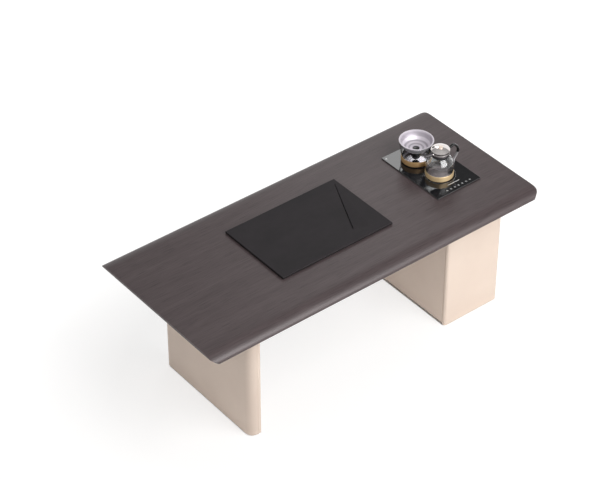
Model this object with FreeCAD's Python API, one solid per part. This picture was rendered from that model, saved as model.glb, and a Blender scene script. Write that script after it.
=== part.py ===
import FreeCAD, Part

import math
import os

# A gongfu tea table: a dark wooden top with rolled long edges on two pale
# pedestals.  The left pedestal is a hollow slab leg.  The right one is a small
# cabinet with a flush door, and it carries a two-ring stove let into the top.
# X runs along the table, Y towards its back and Z up.  The origin is on the
# floor, under the middle of the top.  Lengths are in millimetres.

os.makedirs("parts", exist_ok=True)

# The whole table
table_length = 2100.0
table_width = 930.0
table_height = 750.0
cut_overrun = 5.0
bond_gap = 0.1
flat_gap = 0.3

# Table top
top_thickness = 45.0
roll_width = 78.0
roll_nose = 6.0
end_lip = 12.0
end_undercut = 30.0
right_end_undercut = 8.0
top_corner = 46.0

# Stiffening channels let into the underside of the top
channel_width = 38.0
channel_depth = 16.0
channel_wall = 3.0
channel_slack = 0.5
channel_line = 190.0
channel_inset = 40.0
channel_screw_count = 6
channel_screw_shank = 2.2
channel_screw_head = 4.5
channel_screw_head_height = 2.5
channel_screw_length = 22.0

# Boards, dowels, bolts and glides that both pedestals share
board = 18.0
dowel_radius = 4.0
dowel_length = 30.0
dowel_wall_share = 0.4
bolt_radius = 4.0
bolt_head_radius = 8.0
bolt_head_height = 5.0
insert_radius = 6.5
insert_length = 22.0
thread_gap = 0.05
glide_radius = 9.0
glide_stem_radius = 3.5
glide_stem_length = 12.0
floor_gap = 3.0

# Left slab leg
leg_setback = 292.0
leg_thickness = 65.0
leg_depth = 724.0
leg_corner = 46.0
leg_bolt_count = 3
leg_bolt_inset = 70.0

# Right cabinet
cabinet_setback = 119.0
cabinet_width = 377.0
cabinet_depth = 650.0
cabinet_corner = 28.0
cabinet_edge_round = 16.0
cabinet_plinth = 14.0
cabinet_bolt_inset = 27.0
shelf_height = 330.0
shelf_slack = 1.0
shelf_pin_radius = 2.5
shelf_pin_reach = 10.0
shelf_pin_depth = 9.0
shelf_pin_inset = 50.0

# Flush door on two pivots, with a push latch
door_gap = 2.0
door_back_gap = 2.5
pivot_plate = 3.0
pivot_plate_length = 36.0
pivot_plate_width = 24.0
pivot_pin_radius = 3.0
pivot_pin_depth = 25.0
pivot_running_gap = 0.05
bush_radius = 5.0
bush_flange_radius = 7.0
bush_flange = 1.0
latch_inset = 57.0
latch_length = 46.0
latch_size = 18.0
latch_setback = 12.0
plunger_radius = 4.0
plunger_running_gap = 0.08
plunger_length = 42.0
plunger_travel = 3.0
strike_size = 22.0
strike_thickness = 1.0

# Cable outlet in the cabinet's back
grommet_bore = 20.0
grommet_wall = 4.0
grommet_flange = 6.0
grommet_flange_thickness = 2.0
grommet_drop = 145.0

# Stove: glass, tub and what is in the tub
stove_setback = 320.0
stove_y = 26.0
stove_width = 292.0
stove_length = 449.0
stove_glass = 6.0
stove_glass_corner = 5.0
stove_glass_bevel = 1.6
stove_rim = 12.0
gasket_thickness = 1.0
gasket_inset = 2.0
tub_clearance = 2.0
tub_wall = 1.2
tub_depth = 75.0
tub_corner = 6.0
ring_spacing = 175.0
ring_offset = 15.0
coil_radius = 80.0
coil_eye = 22.0
coil_thickness = 5.0
former_thickness = 3.0
former_rim = 4.0
ferrite_count = 6
ferrite_width = 9.0
ferrite_thickness = 4.0
mica_thickness = 1.0
post_radius = 3.0
post_count = 3
post_circle = 72.0
power_board_thickness = 1.6
power_board_width = 220.0
power_board_length = 128.0
power_board_lift = 10.0
heat_sink_width = 90.0
heat_sink_length = 60.0
heat_sink_base = 4.0
heat_sink_height = 26.0
heat_sink_fin = 2.0
heat_sink_fin_count = 9
touch_board_width = 170.0
touch_board_length = 34.0
touch_board_margin = 8.0
vent_slot_width = 4.0
vent_slot_length = 60.0
vent_slot_count = 6
vent_slot_pitch = 10.0
clamp_width = 24.0
clamp_reach = 20.0
clamp_drop = 8.0
clamp_thickness = 2.0
clamp_inset = 110.0
inlet_width = 27.0
inlet_height = 20.0
inlet_depth = 22.0
inlet_margin = 14.0
inlet_flange = 3.0
inlet_recess = 14.0
inlet_recess_wall = 2.5
inlet_pin_radius = 1.2

# Cooling fan in the tub
fan_size = 80.0
fan_depth = 22.0
fan_corner = 6.0
fan_bore = 37.0
fan_tip_gap = 1.0
fan_hub_radius = 15.0
fan_hub_height = 15.0
fan_blade_count = 7
fan_blade_chord = 17.0
fan_blade_thickness = 1.4
fan_root_pitch = 48.0
fan_tip_pitch = 28.0
fan_spindle_radius = 2.0
fan_spindle_gap = 0.05
fan_boss_radius = 12.0
fan_boss_height = 3.0
fan_strut_width = 4.0
fan_strut_count = 4

# Foot of the same make under kettle and pot: steel pan, seal and gold band
foot_pan_inset = 7.5
foot_pan_wall = 2.0
foot_pan_height = 11.0
foot_seal_inset = 2.0
foot_seal_thickness = 3.5
foot_band_wall = 1.6
foot_band_height = 30.0
vessel_wall = 3.0

# Kettle
kettle_offset = -5.5
kettle_turn = -10.0
kettle_band_radius = 74.0
kettle_belly_radius = 74.6
kettle_belly_height = 52.0
kettle_shoulder_radius = 67.5
kettle_shoulder_height = 95.0
kettle_neck_radius = 44.5
kettle_neck_height = 125.0
kettle_neck_length = 8.0
neck_ring_radius = 47.0
neck_ring_height = 8.0
collar_radius = 48.5
collar_wall = 1.6
collar_height = 27.0
spout_reach = 94.0
spout_root_width = 12.0
spout_root_height = 8.5
spout_tip_width = 6.5
spout_tip_height = 5.5
spout_wall = 1.3
spout_drop = 3.5
lid_radius = 50.0
lid_lip = 2.5
lid_dome = 12.0
lid_sheet = 1.4
lid_plug_depth = 9.0
lid_plug_gap = 0.5
lid_vent_radius = 4.5
lid_vent_place = 38.0
lid_turn = -44.0
lid_knob_radius = 13.0
lid_knob_height = 7.0
lid_knob_stem = 5.0
handle_reach = 113.0
handle_top = 171.5
handle_foot_radius = 77.5
handle_foot_height = 64.0
handle_thickness = 11.0
handle_width = 15.0
handle_round = 3.0
clip_height = 9.0
clip_thickness = 3.0

# Pot with its steel lid lying upside down in the mouth
pot_offset = -14.5
pot_band_radius = 77.5
pot_waist_radius = 84.0
pot_waist_height = 72.0
pot_mouth_radius = 90.5
pot_height = 125.0
pot_lid_radius = 92.0
pot_lid_flange = 2.5
pot_lid_sheet = 1.2
pot_lid_depth = 50.0
pot_lid_flat = 20.0
pot_lid_bulge = 2.5
pot_crease_radius = 63.0
pot_crease_depth = 41.0
pot_lid_mouth_gap = 1.0
pot_knob_top = 20.0
pot_knob_belly = 28.0
pot_knob_end = 21.0
pot_knob_length = 58.0
pot_knob_round = 5.0
pot_washer_radius = 17.5
pot_washer_thickness = 2.5
pot_screw_radius = 3.0

# Tea tray
tray_x = -77.5
tray_y = 27.5
tray_length = 699.0
tray_width = 465.0
tray_thickness = 11.0
tray_edge = 1.0
tray_groove_depth = 4.0
tray_slot_depth = 8.0
tray_slot_back = 2.5
tray_slot_front = 9.0
tray_facet_width = 90.0
tray_pad_radius = 8.0
tray_pad_height = 1.5
tray_pad_inset = 40.0

# Shares that place curves on the sizes above
arc_share = math.sin(math.radians(45))
handle_line_shares = ((0.0, 0.843), (0.185, 0.912), (0.49, 1.0), (0.70, 0.927), (0.912, 0.775),
                      (1.0, 0.598), (0.89, 0.353), (0.686, 0.157))
groove_start_shares = (0.965, 0.918)
groove_end_shares = (0.730, 0.178)
knob_belly_share = 0.45

# Places that follow from the sizes
half_length = table_length / 2
half_width = table_width / 2
underside = table_height - top_thickness
leg_outer_x = -half_length + leg_setback
leg_inner_x = leg_outer_x + leg_thickness
leg_shell_x = leg_inner_x - board
leg_y = leg_depth / 2
cabinet_outer_x = half_length - cabinet_setback
cabinet_inner_x = cabinet_outer_x - cabinet_width
cabinet_y = cabinet_depth / 2
cabinet_room_y = cabinet_y - board
cabinet_room_x = cabinet_outer_x - board
carcass_x = cabinet_inner_x + board + strike_thickness + door_gap
top_board_z = underside - board
base_board_top = cabinet_plinth + board
pivot_x = cabinet_inner_x + board / 2
pivot_y = cabinet_room_y - door_back_gap - board / 2
door_bottom = cabinet_plinth + bush_flange + flat_gap
door_top = underside - pivot_plate - bush_flange - flat_gap
glass_bottom = table_height + gasket_thickness
stove_top = glass_bottom + stove_glass
stove_x = half_length - stove_setback
hole_width = stove_width - 2 * stove_rim
hole_length = stove_length - 2 * stove_rim
tub_width = hole_width - 2 * tub_clearance
tub_length = hole_length - 2 * tub_clearance
tub_floor = glass_bottom - tub_depth + tub_wall
ring_y = stove_y + ring_offset
kettle_x = stove_x + kettle_offset
kettle_y = ring_y - ring_spacing / 2
pot_x = stove_x + pot_offset
pot_y = ring_y + ring_spacing / 2
collar_base = kettle_neck_height + kettle_neck_length + gasket_thickness
collar_top = collar_base + collar_height
tray_bottom = table_height + tray_pad_height
tray_top = tray_bottom + tray_thickness


# Shared shapes

def point(x, y, z):
    return FreeCAD.Vector(x, y, z)


def block(x0, x1, y0, y1, z0, z1):
    return Part.makeBox(x1 - x0, y1 - y0, z1 - z0, point(x0, y0, z0))


def rod(x, y, z0, z1, radius):
    return Part.makeCylinder(radius, z1 - z0, point(x, y, z0), point(0, 0, 1))


def rod_along(start, axis, length, radius):
    return Part.makeCylinder(radius, length, start, axis)


def group(solids):
    return Part.makeCompound(solids)


def merge(solids):
    joined = solids[0].fuse(solids[1:])
    return joined.removeSplitter()


def rounded_plate(width, length, corner, z0, z1, x=0, y=0):
    """A flat plate with all four upright corners rounded, centred on x, y."""
    plate = block(x - width / 2, x + width / 2, y - length / 2, y + length / 2, z0, z1)
    upright = [edge for edge in plate.Edges if is_upright(edge)]
    return plate.makeFillet(corner, upright)


def is_upright(edge):
    box = edge.BoundBox
    return box.ZLength > max(box.XLength, box.YLength)


def at_place(edge, x, y, slack):
    centre = edge.BoundBox.Center
    return abs(centre.x - x) < slack and abs(centre.y - y) < slack


def profile_face(start, moves):
    """A face in the XZ plane.  Each move is a point, or two points for an arc."""
    edges = []
    here = point(start[0], 0, start[1])
    for move in list(moves) + [start]:
        if isinstance(move[0], tuple):
            through = point(move[0][0], 0, move[0][1])
            end = point(move[1][0], 0, move[1][1])
            edges.append(Part.Arc(here, through, end).toShape())
        else:
            end = point(move[0], 0, move[1])
            if here.distanceToPoint(end) == 0:
                continue
            edges.append(Part.LineSegment(here, end).toShape())
        here = end
    return Part.Face(Part.Wire(edges))


def turned(x, y, z, start, moves):
    """A solid turned about the upright axis at x, y from a radius-height profile."""
    solid = profile_face(start, moves).revolve(point(0, 0, 0), point(0, 0, 1), 360)
    solid.translate(point(x, y, z))
    return solid


def dome_arc(radius, base, rise):
    """The arc move from a dome's rim, at radius and base, up to its crown."""
    sphere = (radius ** 2 + rise ** 2) / (2 * rise)
    middle = base + rise - sphere + math.sqrt(sphere ** 2 - (radius / 2) ** 2)
    return (radius / 2, middle), (0, base + rise)


def spread(count, low, high):
    return [low + (high - low) * step / (count - 1) for step in range(count)]


def around(count, radius):
    for step in range(count):
        angle = math.radians(360 * step / count)
        yield radius * math.cos(angle), radius * math.sin(angle)


def save(name, shape):
    shape.exportStep(os.path.join("parts", name + ".step"))


# Table top and its stiffening

def roll_arc(side):
    """The quarter ellipse that rolls one long edge over, from nose to flat."""
    nose_z = underside + roll_nose
    nose = point(-half_length, side * half_width, nose_z)
    crown = point(-half_length, side * (half_width - roll_width), table_height)
    centre = point(-half_length, side * (half_width - roll_width), nose_z)
    return Part.Ellipse(nose, crown, centre).toShape(0, math.pi / 2)


def nose_arc(side):
    centre_y = half_width - roll_nose
    low = point(-half_length, side * centre_y, underside)
    drop = roll_nose * (1 - arc_share)
    middle = point(-half_length, side * (half_width - drop), underside + drop)
    high = point(-half_length, side * half_width, underside + roll_nose)
    return Part.Arc(low, middle, high).toShape()


def top_section():
    """The cross-section of the top, drawn out along the whole length."""
    flat_y = half_width - roll_width
    low_y = half_width - roll_nose
    crown = Part.LineSegment(point(-half_length, -flat_y, table_height),
                             point(-half_length, flat_y, table_height)).toShape()
    base = Part.LineSegment(point(-half_length, -low_y, underside),
                            point(-half_length, low_y, underside)).toShape()
    edges = [crown, base, roll_arc(1), roll_arc(-1), nose_arc(1), nose_arc(-1)]
    face = Part.Face(Part.Wire(Part.__sortEdges__(edges)))
    return face.extrude(point(table_length, 0, 0))


def top_outline(z, left_inset, right_inset):
    """The outline seen from above: square left corners, round right corners."""
    left = -half_length + left_inset
    right = half_length - right_inset
    bend = right - top_corner
    far = half_width + cut_overrun
    side = half_width - top_corner
    swing = top_corner * arc_share
    edges = [
        Part.LineSegment(point(left, far, z), point(left, -far, z)).toShape(),
        Part.LineSegment(point(left, -far, z), point(bend, -far, z)).toShape(),
        Part.LineSegment(point(bend, -far, z), point(bend, -half_width, z)).toShape(),
        Part.Arc(point(bend, -half_width, z), point(bend + swing, -side - swing, z),
                 point(right, -side, z)).toShape(),
        Part.LineSegment(point(right, -side, z), point(right, side, z)).toShape(),
        Part.Arc(point(right, side, z), point(bend + swing, side + swing, z),
                 point(bend, half_width, z)).toShape(),
        Part.LineSegment(point(bend, half_width, z), point(bend, far, z)).toShape(),
        Part.LineSegment(point(bend, far, z), point(left, far, z)).toShape(),
    ]
    return Part.Wire(edges)


def top_plan():
    """The plan body: a thin upright lip with a slanting undercut below it."""
    lip_z = table_height - end_lip
    lip = Part.Face(top_outline(lip_z, 0, 0)).extrude(point(0, 0, end_lip + cut_overrun))
    drop = underside - cut_overrun
    share = (lip_z - drop) / (lip_z - underside)
    low = top_outline(drop, end_undercut * share, right_end_undercut * share)
    bevel = Part.makeLoft([low, top_outline(lip_z, 0, 0)], True, True)
    return lip.fuse(bevel)


def channel_ends():
    return leg_inner_x + channel_inset, cabinet_inner_x - channel_inset


def channel_body(side, slack):
    """The outer block of one channel, grown by its slack to cut the groove."""
    x0, x1 = channel_ends()
    y = side * channel_line
    half = channel_width / 2 + slack
    return block(x0 - slack, x1 + slack, y - half, y + half, underside, underside + channel_depth + slack)


def stiffening_channel(side):
    x0, x1 = channel_ends()
    y = side * channel_line
    inner = channel_width / 2 - channel_wall
    hollow = block(x0 - cut_overrun, x1 + cut_overrun, y - inner, y + inner,
                   underside - cut_overrun, underside + channel_depth - channel_wall)
    body = channel_body(side, 0).cut(hollow)
    return body.cut([screw_hole(x, y) for x in channel_screw_places()])


def channel_screw_places():
    x0, x1 = channel_ends()
    return spread(channel_screw_count, x0 + channel_inset, x1 - channel_inset)


def screw_hole(x, y):
    return rod(x, y, underside, table_height - end_lip, channel_screw_shank + bond_gap)


def channel_screw(x, y):
    seat = underside + channel_depth - channel_wall
    head = rod(x, y, seat - channel_screw_head_height, seat, channel_screw_head)
    return head.fuse(rod(x, y, seat, seat + channel_screw_length, channel_screw_shank))


def stove_hole(z0, z1):
    return rounded_plate(hole_width, hole_length, tub_corner, z0, z1, stove_x, stove_y)


def table_top():
    body = top_section().common(top_plan())
    tools = [stove_hole(underside - cut_overrun, table_height + cut_overrun)]
    for side in (-1, 1):
        tools.append(channel_body(side, channel_slack))
        for x in channel_screw_places():
            seat = underside + channel_depth
            end = seat + channel_screw_length
            tools.append(rod(x, side * channel_line, underside, end, channel_screw_shank + bond_gap))
    for x, y in leg_bolt_places() + cabinet_bolt_places():
        tools.append(rod(x, y, underside - cut_overrun, underside + insert_length, insert_radius))
    return body.cut(tools)


# Bolts that draw both pedestals up against the top

def leg_bolt_places():
    x = (leg_outer_x + board + leg_shell_x) / 2
    reach = leg_y - leg_bolt_inset
    return [(x, y) for y in spread(leg_bolt_count, -reach, reach)]


def cabinet_bolt_places():
    reach = cabinet_room_y - cabinet_bolt_inset
    return [(x, y) for x in (carcass_x + cabinet_bolt_inset, cabinet_room_x - cabinet_bolt_inset)
            for y in (-reach, reach)]


def fixing_bolt(x, y):
    head = rod(x, y, top_board_z - bolt_head_height, top_board_z, bolt_head_radius)
    socket = rod(x, y, top_board_z - bolt_head_height - cut_overrun,
                 top_board_z - bolt_head_height / 2, bolt_radius - thread_gap)
    shank = rod(x, y, top_board_z, underside + insert_length, bolt_radius)
    return head.cut(socket).fuse(shank)


def insert_nut(x, y):
    sleeve = rod(x, y, underside, underside + insert_length, insert_radius)
    return sleeve.cut(rod(x, y, underside - cut_overrun, underside + insert_length + cut_overrun,
                          bolt_radius + thread_gap))


def bolt_hole(x, y):
    return rod(x, y, top_board_z - cut_overrun, underside + cut_overrun, bolt_radius + bond_gap)


def dowel(x, y, z, axis):
    """A dowel that starts in the wall and ends in the board, along axis."""
    start = point(x, y, z) - axis * (dowel_length * dowel_wall_share)
    return rod_along(start, axis, dowel_length, dowel_radius)


def glide(x, y, board_z):
    pad_top = board_z
    pad = rod(x, y, 0, pad_top, glide_radius)
    return pad.fuse(rod(x, y, pad_top, pad_top + glide_stem_length, glide_stem_radius))


def glide_hole(x, y, board_z):
    return rod(x, y, board_z - cut_overrun, board_z + glide_stem_length, glide_stem_radius)


# Left slab leg: bent outer shell, flat inner panel, top and base boards

def leg_outline(x0, x1, y, corner, z0, z1):
    """A block whose two corners on the outer side are rounded."""
    body = block(x0, x1, -y, y, z0, z1)
    edges = [edge for edge in body.Edges if is_upright(edge) and edge.BoundBox.Center.x < (x0 + x1) / 2]
    return body.makeFillet(corner, edges)


def left_leg_shell():
    outer = leg_outline(leg_outer_x, leg_shell_x, leg_y, leg_corner, floor_gap, underside)
    inner = leg_outline(leg_outer_x + board, leg_shell_x + board, leg_y - board, leg_corner - board,
                        floor_gap - cut_overrun, underside + cut_overrun)
    return outer.cut(inner).cut(leg_dowels())


def leg_filler(z0, z1):
    return leg_outline(leg_outer_x + board, leg_shell_x, leg_y - board, leg_corner - board, z0, z1)


def leg_dowels():
    x = (leg_outer_x + board + leg_shell_x) / 2
    return [dowel(x, side * (leg_y - board), z, point(0, -side, 0))
            for side in (-1, 1) for z in (floor_gap + board / 2, underside - board / 2)]


def left_leg_top_board():
    tools = leg_dowels() + [bolt_hole(x, y) for x, y in leg_bolt_places()]
    return leg_filler(top_board_z, underside).cut(tools)


def left_leg_base_board():
    tools = leg_dowels() + [glide_hole(x, y, floor_gap) for x, y in leg_glide_places()]
    return leg_filler(floor_gap, floor_gap + board).cut(tools)


def leg_glide_places():
    x = (leg_outer_x + board + leg_shell_x) / 2
    reach = leg_y - leg_bolt_inset
    return [(x, y) for y in spread(leg_bolt_count, -reach, reach)]


def left_leg_inner_panel():
    return block(leg_shell_x, leg_inner_x, -leg_y, leg_y, floor_gap, underside)


# Right cabinet: bent shell round three sides, boards, shelf and fittings

def cabinet_shell():
    body = block(cabinet_inner_x, cabinet_outer_x, -cabinet_y, cabinet_y, floor_gap, underside)
    upright = [edge for edge in body.Edges if is_upright(edge)]
    middle = (cabinet_inner_x + cabinet_outer_x) / 2
    outer = body.makeFillet(cabinet_corner, [edge for edge in upright if edge.BoundBox.Center.x > middle])
    inner_edges = [edge for edge in outer.Edges if is_upright(edge)
                   and any(at_place(edge, cabinet_inner_x, side * cabinet_y, bond_gap) for side in (-1, 1))]
    outer = outer.makeFillet(cabinet_edge_round, inner_edges)
    room = block(cabinet_inner_x - cut_overrun, cabinet_room_x, -cabinet_room_y, cabinet_room_y,
                 floor_gap - cut_overrun, underside + cut_overrun)
    back_edges = [edge for edge in room.Edges if is_upright(edge) and edge.BoundBox.Center.x > middle]
    room = room.makeFillet(cabinet_corner - board, back_edges)
    tools = [room, grommet_hole()] + cabinet_dowels()
    tools += [shelf_pin_body(x, side, bond_gap) for x in shelf_pin_places() for side in (-1, 1)]
    return outer.cut(tools)


def cabinet_dowel_places():
    return spread(3, carcass_x + cabinet_bolt_inset, cabinet_room_x - cabinet_bolt_inset)


def cabinet_dowels():
    heights = (cabinet_plinth + board / 2, underside - board / 2)
    return [dowel(x, side * cabinet_room_y, z, point(0, -side, 0))
            for side in (-1, 1) for z in heights for x in cabinet_dowel_places()]


def carcass_board(z0, z1):
    """A board that fills the cabinet behind the door, its outer corners round."""
    body = block(carcass_x, cabinet_room_x, -cabinet_room_y, cabinet_room_y, z0, z1)
    middle = (carcass_x + cabinet_room_x) / 2
    edges = [edge for edge in body.Edges if is_upright(edge) and edge.BoundBox.Center.x > middle]
    return body.makeFillet(cabinet_corner - board, edges)


def cabinet_top_board():
    tools = cabinet_dowels() + [bolt_hole(x, y) for x, y in cabinet_bolt_places()]
    tools += [stove_hole(top_board_z - cut_overrun, underside + cut_overrun), upper_plate_block()]
    return carcass_board(top_board_z, underside).cut(tools)


def cabinet_base_board():
    tools = cabinet_dowels() + [glide_hole(x, y, cabinet_plinth) for x, y in cabinet_bolt_places()]
    return carcass_board(cabinet_plinth, base_board_top).cut(tools)


def cabinet_shelf():
    body = carcass_board(shelf_height, shelf_height + board)
    trim = block(carcass_x - cut_overrun, cabinet_outer_x, cabinet_room_y - shelf_slack, cabinet_y,
                 shelf_height - cut_overrun, shelf_height + board + cut_overrun)
    return body.cut([trim, trim.mirror(point(0, 0, 0), point(0, 1, 0))])


def shelf_pin_places():
    return [carcass_x + shelf_pin_inset, cabinet_room_x - shelf_pin_inset]


def shelf_pin_body(x, side, slack):
    start = point(x, side * (cabinet_room_y - shelf_pin_reach), shelf_height - shelf_pin_radius)
    return rod_along(start, point(0, side, 0), shelf_pin_reach + shelf_pin_depth, shelf_pin_radius + slack)


def shelf_pin(x, side):
    body = shelf_pin_body(x, side, 0)
    collar_y = side * (cabinet_room_y - bond_gap)
    start = point(x, collar_y, shelf_height - shelf_pin_radius)
    collar = rod_along(start, point(0, -side, 0), channel_wall / 2, 2 * shelf_pin_radius)
    over = block(x - board, x + board, -cabinet_y, cabinet_y, shelf_height, shelf_height + board)
    return body.fuse(collar).cut(over)


# Flush door, its pivots and its push latch

def cabinet_door():
    body = block(cabinet_inner_x, cabinet_inner_x + board, -cabinet_room_y + door_gap,
                 cabinet_room_y - door_back_gap, door_bottom, door_top)
    back = [edge for edge in body.Edges if is_upright(edge) and edge.BoundBox.Center.y > 0]
    body = body.makeFillet(board / 2 - bond_gap, back)
    return body.cut([pivot_pin_at(height) for height in pivot_spans()])


def pivot_spans():
    """Lowest and highest points of the bottom pin and of the top pin."""
    bottom = (cabinet_plinth - pivot_plate, door_bottom + pivot_pin_depth)
    top = (door_top - pivot_pin_depth, underside - flat_gap)
    return bottom, top


def pivot_pin_at(span):
    return rod(pivot_x, pivot_y, span[0], span[1], pivot_pin_radius)


def plate_block(z0, z1):
    """A pivot plate reaching from under the door back onto the carcass board."""
    x0 = pivot_x - board / 2
    half = pivot_plate_width / 2
    return block(x0, x0 + pivot_plate_length, pivot_y - half, cabinet_room_y - flat_gap, z0, z1)


def upper_plate_block():
    return plate_block(underside - pivot_plate, underside)


def pivot_plate_at(z0):
    plate = plate_block(z0, z0 + pivot_plate)
    return plate.cut(rod(pivot_x, pivot_y, z0 - cut_overrun, z0 + pivot_plate + cut_overrun, bush_radius))


def pivot_bush(plate_z, flange_side):
    """A flanged bush in a pivot plate; its flange faces the door."""
    sleeve = rod(pivot_x, pivot_y, plate_z, plate_z + pivot_plate, bush_radius)
    if flange_side > 0:
        flange = rod(pivot_x, pivot_y, plate_z + pivot_plate, plate_z + pivot_plate + bush_flange,
                     bush_flange_radius)
    else:
        flange = rod(pivot_x, pivot_y, plate_z - bush_flange, plate_z, bush_flange_radius)
    bore = rod(pivot_x, pivot_y, plate_z - cut_overrun, plate_z + pivot_plate + cut_overrun,
               pivot_pin_radius + pivot_running_gap)
    return sleeve.fuse(flange).cut(bore)


def latch_axis_y():
    return -cabinet_room_y + latch_inset


def latch_axis_z():
    return top_board_z - latch_size / 2


def latch_housing():
    y = latch_axis_y()
    x0 = carcass_x + latch_setback
    half = latch_size / 2
    body = block(x0, x0 + latch_length, y - half, y + half, top_board_z - latch_size, top_board_z)
    lengthwise = [edge for edge in body.Edges
                  if edge.BoundBox.XLength > latch_size and edge.BoundBox.Center.z < latch_axis_z()]
    body = body.makeFillet(half / 2, lengthwise)
    start = point(x0 - cut_overrun, y, latch_axis_z())
    depth = plunger_tip_x() + plunger_length + plunger_travel + flat_gap - x0
    bore = plunger_radius + plunger_running_gap
    return body.cut(rod_along(start, point(1, 0, 0), depth + cut_overrun, bore))


def plunger_tip_x():
    return cabinet_inner_x + board + strike_thickness + flat_gap


def latch_plunger():
    start = point(plunger_tip_x(), latch_axis_y(), latch_axis_z())
    body = rod_along(start, point(1, 0, 0), plunger_length, plunger_radius)
    tip = [edge for edge in body.Edges if edge.BoundBox.XLength < bond_gap
           and edge.BoundBox.Center.x < start.x + plunger_radius]
    return body.makeFillet(plunger_radius / 2, tip)


def latch_strike():
    x0 = cabinet_inner_x + board
    half = strike_size / 2
    y = latch_axis_y()
    z = latch_axis_z()
    return block(x0, x0 + strike_thickness, y - half, y + half, z - half, z + half)


# Cable outlet

def grommet_place():
    return point((cabinet_inner_x + cabinet_outer_x) / 2, cabinet_room_y, underside - grommet_drop)


def grommet_hole():
    start = grommet_place() - point(0, cut_overrun, 0)
    return rod_along(start, point(0, 1, 0), board + 2 * cut_overrun, grommet_bore + grommet_wall)


def cable_grommet():
    start = grommet_place()
    back = point(0, 1, 0)
    sleeve = rod_along(start, back, board, grommet_bore + grommet_wall - bond_gap)
    flange_radius = grommet_bore + grommet_wall + grommet_flange
    outer = rod_along(start + back * board, back, grommet_flange_thickness, flange_radius)
    inner = rod_along(start, -back, grommet_flange_thickness, flange_radius)
    bore = rod_along(start - back * cut_overrun, back, board + 2 * cut_overrun, grommet_bore)
    return merge([sleeve, outer, inner]).cut(bore)


# Stove glass, seal and tub

def stove_glass_plate():
    body = rounded_plate(stove_width, stove_length, stove_glass_corner, glass_bottom, stove_top,
                         stove_x, stove_y)
    rim = [edge for edge in body.Edges if edge.BoundBox.ZMin > stove_top - bond_gap]
    return body.makeChamfer(stove_glass_bevel, rim)


def stove_gasket():
    outer = rounded_plate(stove_width - 2 * gasket_inset, stove_length - 2 * gasket_inset,
                          stove_glass_corner, table_height, glass_bottom, stove_x, stove_y)
    return outer.cut(stove_hole(table_height - cut_overrun, glass_bottom + cut_overrun))


def vent_slots(y):
    slots = []
    half = vent_slot_width / 2
    run = vent_slot_pitch * (vent_slot_count - 1) / 2
    for offset in spread(vent_slot_count, -run, run):
        slots.append(block(stove_x - vent_slot_length / 2, stove_x + vent_slot_length / 2,
                           y + offset - half, y + offset + half,
                           tub_floor - tub_wall - cut_overrun, tub_floor + cut_overrun))
    return slots


def tub_plate(shrink, z0, z1):
    return rounded_plate(tub_width - 2 * shrink, tub_length - 2 * shrink, tub_corner - shrink, z0, z1,
                         stove_x, stove_y)


def inlet_y():
    return stove_y + tub_length / 2 - inlet_margin


def inlet_block(grow, z0, z1):
    half = inlet_width / 2 + grow
    deep = inlet_height / 2 + grow
    return block(stove_x - half, stove_x + half, inlet_y() - deep, inlet_y() + deep, z0, z1)


def stove_case():
    body = tub_plate(0, tub_floor - tub_wall, glass_bottom)
    tools = [tub_plate(tub_wall, tub_floor, glass_bottom + cut_overrun),
             inlet_block(bond_gap, tub_floor - tub_wall - cut_overrun, tub_floor + cut_overrun)]
    return body.cut(tools + vent_slots(kettle_y) + vent_slots(pot_y))


def power_inlet():
    """A three-pin socket let into the tub's floor, its mouth facing down."""
    under = tub_floor - tub_wall
    body = inlet_block(0, under, under + inlet_depth)
    flange = inlet_block(inlet_flange, under - inlet_flange, under)
    deep = under - inlet_flange + inlet_recess
    recess = inlet_block(-inlet_recess_wall, under - inlet_flange - cut_overrun, deep)
    pins = [rod(stove_x + step * inlet_width / 4, inlet_y(), deep - inlet_recess / 2, deep, inlet_pin_radius)
            for step in (-1, 0, 1)]
    return merge([body.fuse(flange).cut(recess)] + pins)


def stove_clamp(side, y):
    """An angle that hooks under the cabinet's top board beside the tub."""
    x0 = stove_x + side * tub_width / 2
    x1 = x0 + side * clamp_reach
    half = clamp_width / 2
    ledge = block(min(x0, x1), max(x0, x1), y - half, y + half, top_board_z - clamp_thickness, top_board_z)
    x2 = x0 + side * clamp_thickness
    leaf = block(min(x0, x2), max(x0, x2), y - half, y + half, top_board_z - clamp_drop, top_board_z)
    return ledge.fuse(leaf).removeSplitter()


# Induction rings under the glass

def mica_z():
    return glass_bottom - mica_thickness


def coil_z():
    return mica_z() - coil_thickness


def former_z():
    return coil_z() - former_thickness


def coil_winding(y):
    """A flat pancake winding with an open eye."""
    disc = rod(stove_x, y, coil_z(), mica_z(), coil_radius)
    return disc.cut(rod(stove_x, y, coil_z() - cut_overrun, mica_z() + cut_overrun, coil_eye))


def coil_former(y):
    disc = turned(stove_x, y, 0, (coil_eye, former_z()), [
        (coil_radius + former_rim, former_z()),
        (coil_radius + former_rim, coil_z() + coil_thickness),
        (coil_radius + bond_gap, coil_z() + coil_thickness),
        (coil_radius + bond_gap, coil_z()),
        (coil_eye, coil_z())])
    bars = []
    span = (coil_eye + coil_radius) / 2
    reach = (coil_radius - coil_eye) / 2 - former_rim
    for step in range(ferrite_count):
        bar = block(stove_x + span - reach, stove_x + span + reach, y - ferrite_width / 2,
                    y + ferrite_width / 2, former_z() - ferrite_thickness, former_z())
        bar.rotate(point(stove_x, y, 0), point(0, 0, 1), 360 * (step + 0.5) / ferrite_count)
        bars.append(bar)
    return merge([disc] + bars)


def mica_disc(y):
    return rod(stove_x, y, mica_z(), glass_bottom, coil_radius)


def ring_posts(y):
    return [rod(stove_x + dx, y + dy, tub_floor, former_z(), post_radius)
            for dx, dy in around(post_count, post_circle)]


def touch_board_y():
    return stove_y - tub_length / 2 + tub_wall + touch_board_margin + touch_board_length / 2


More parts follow.
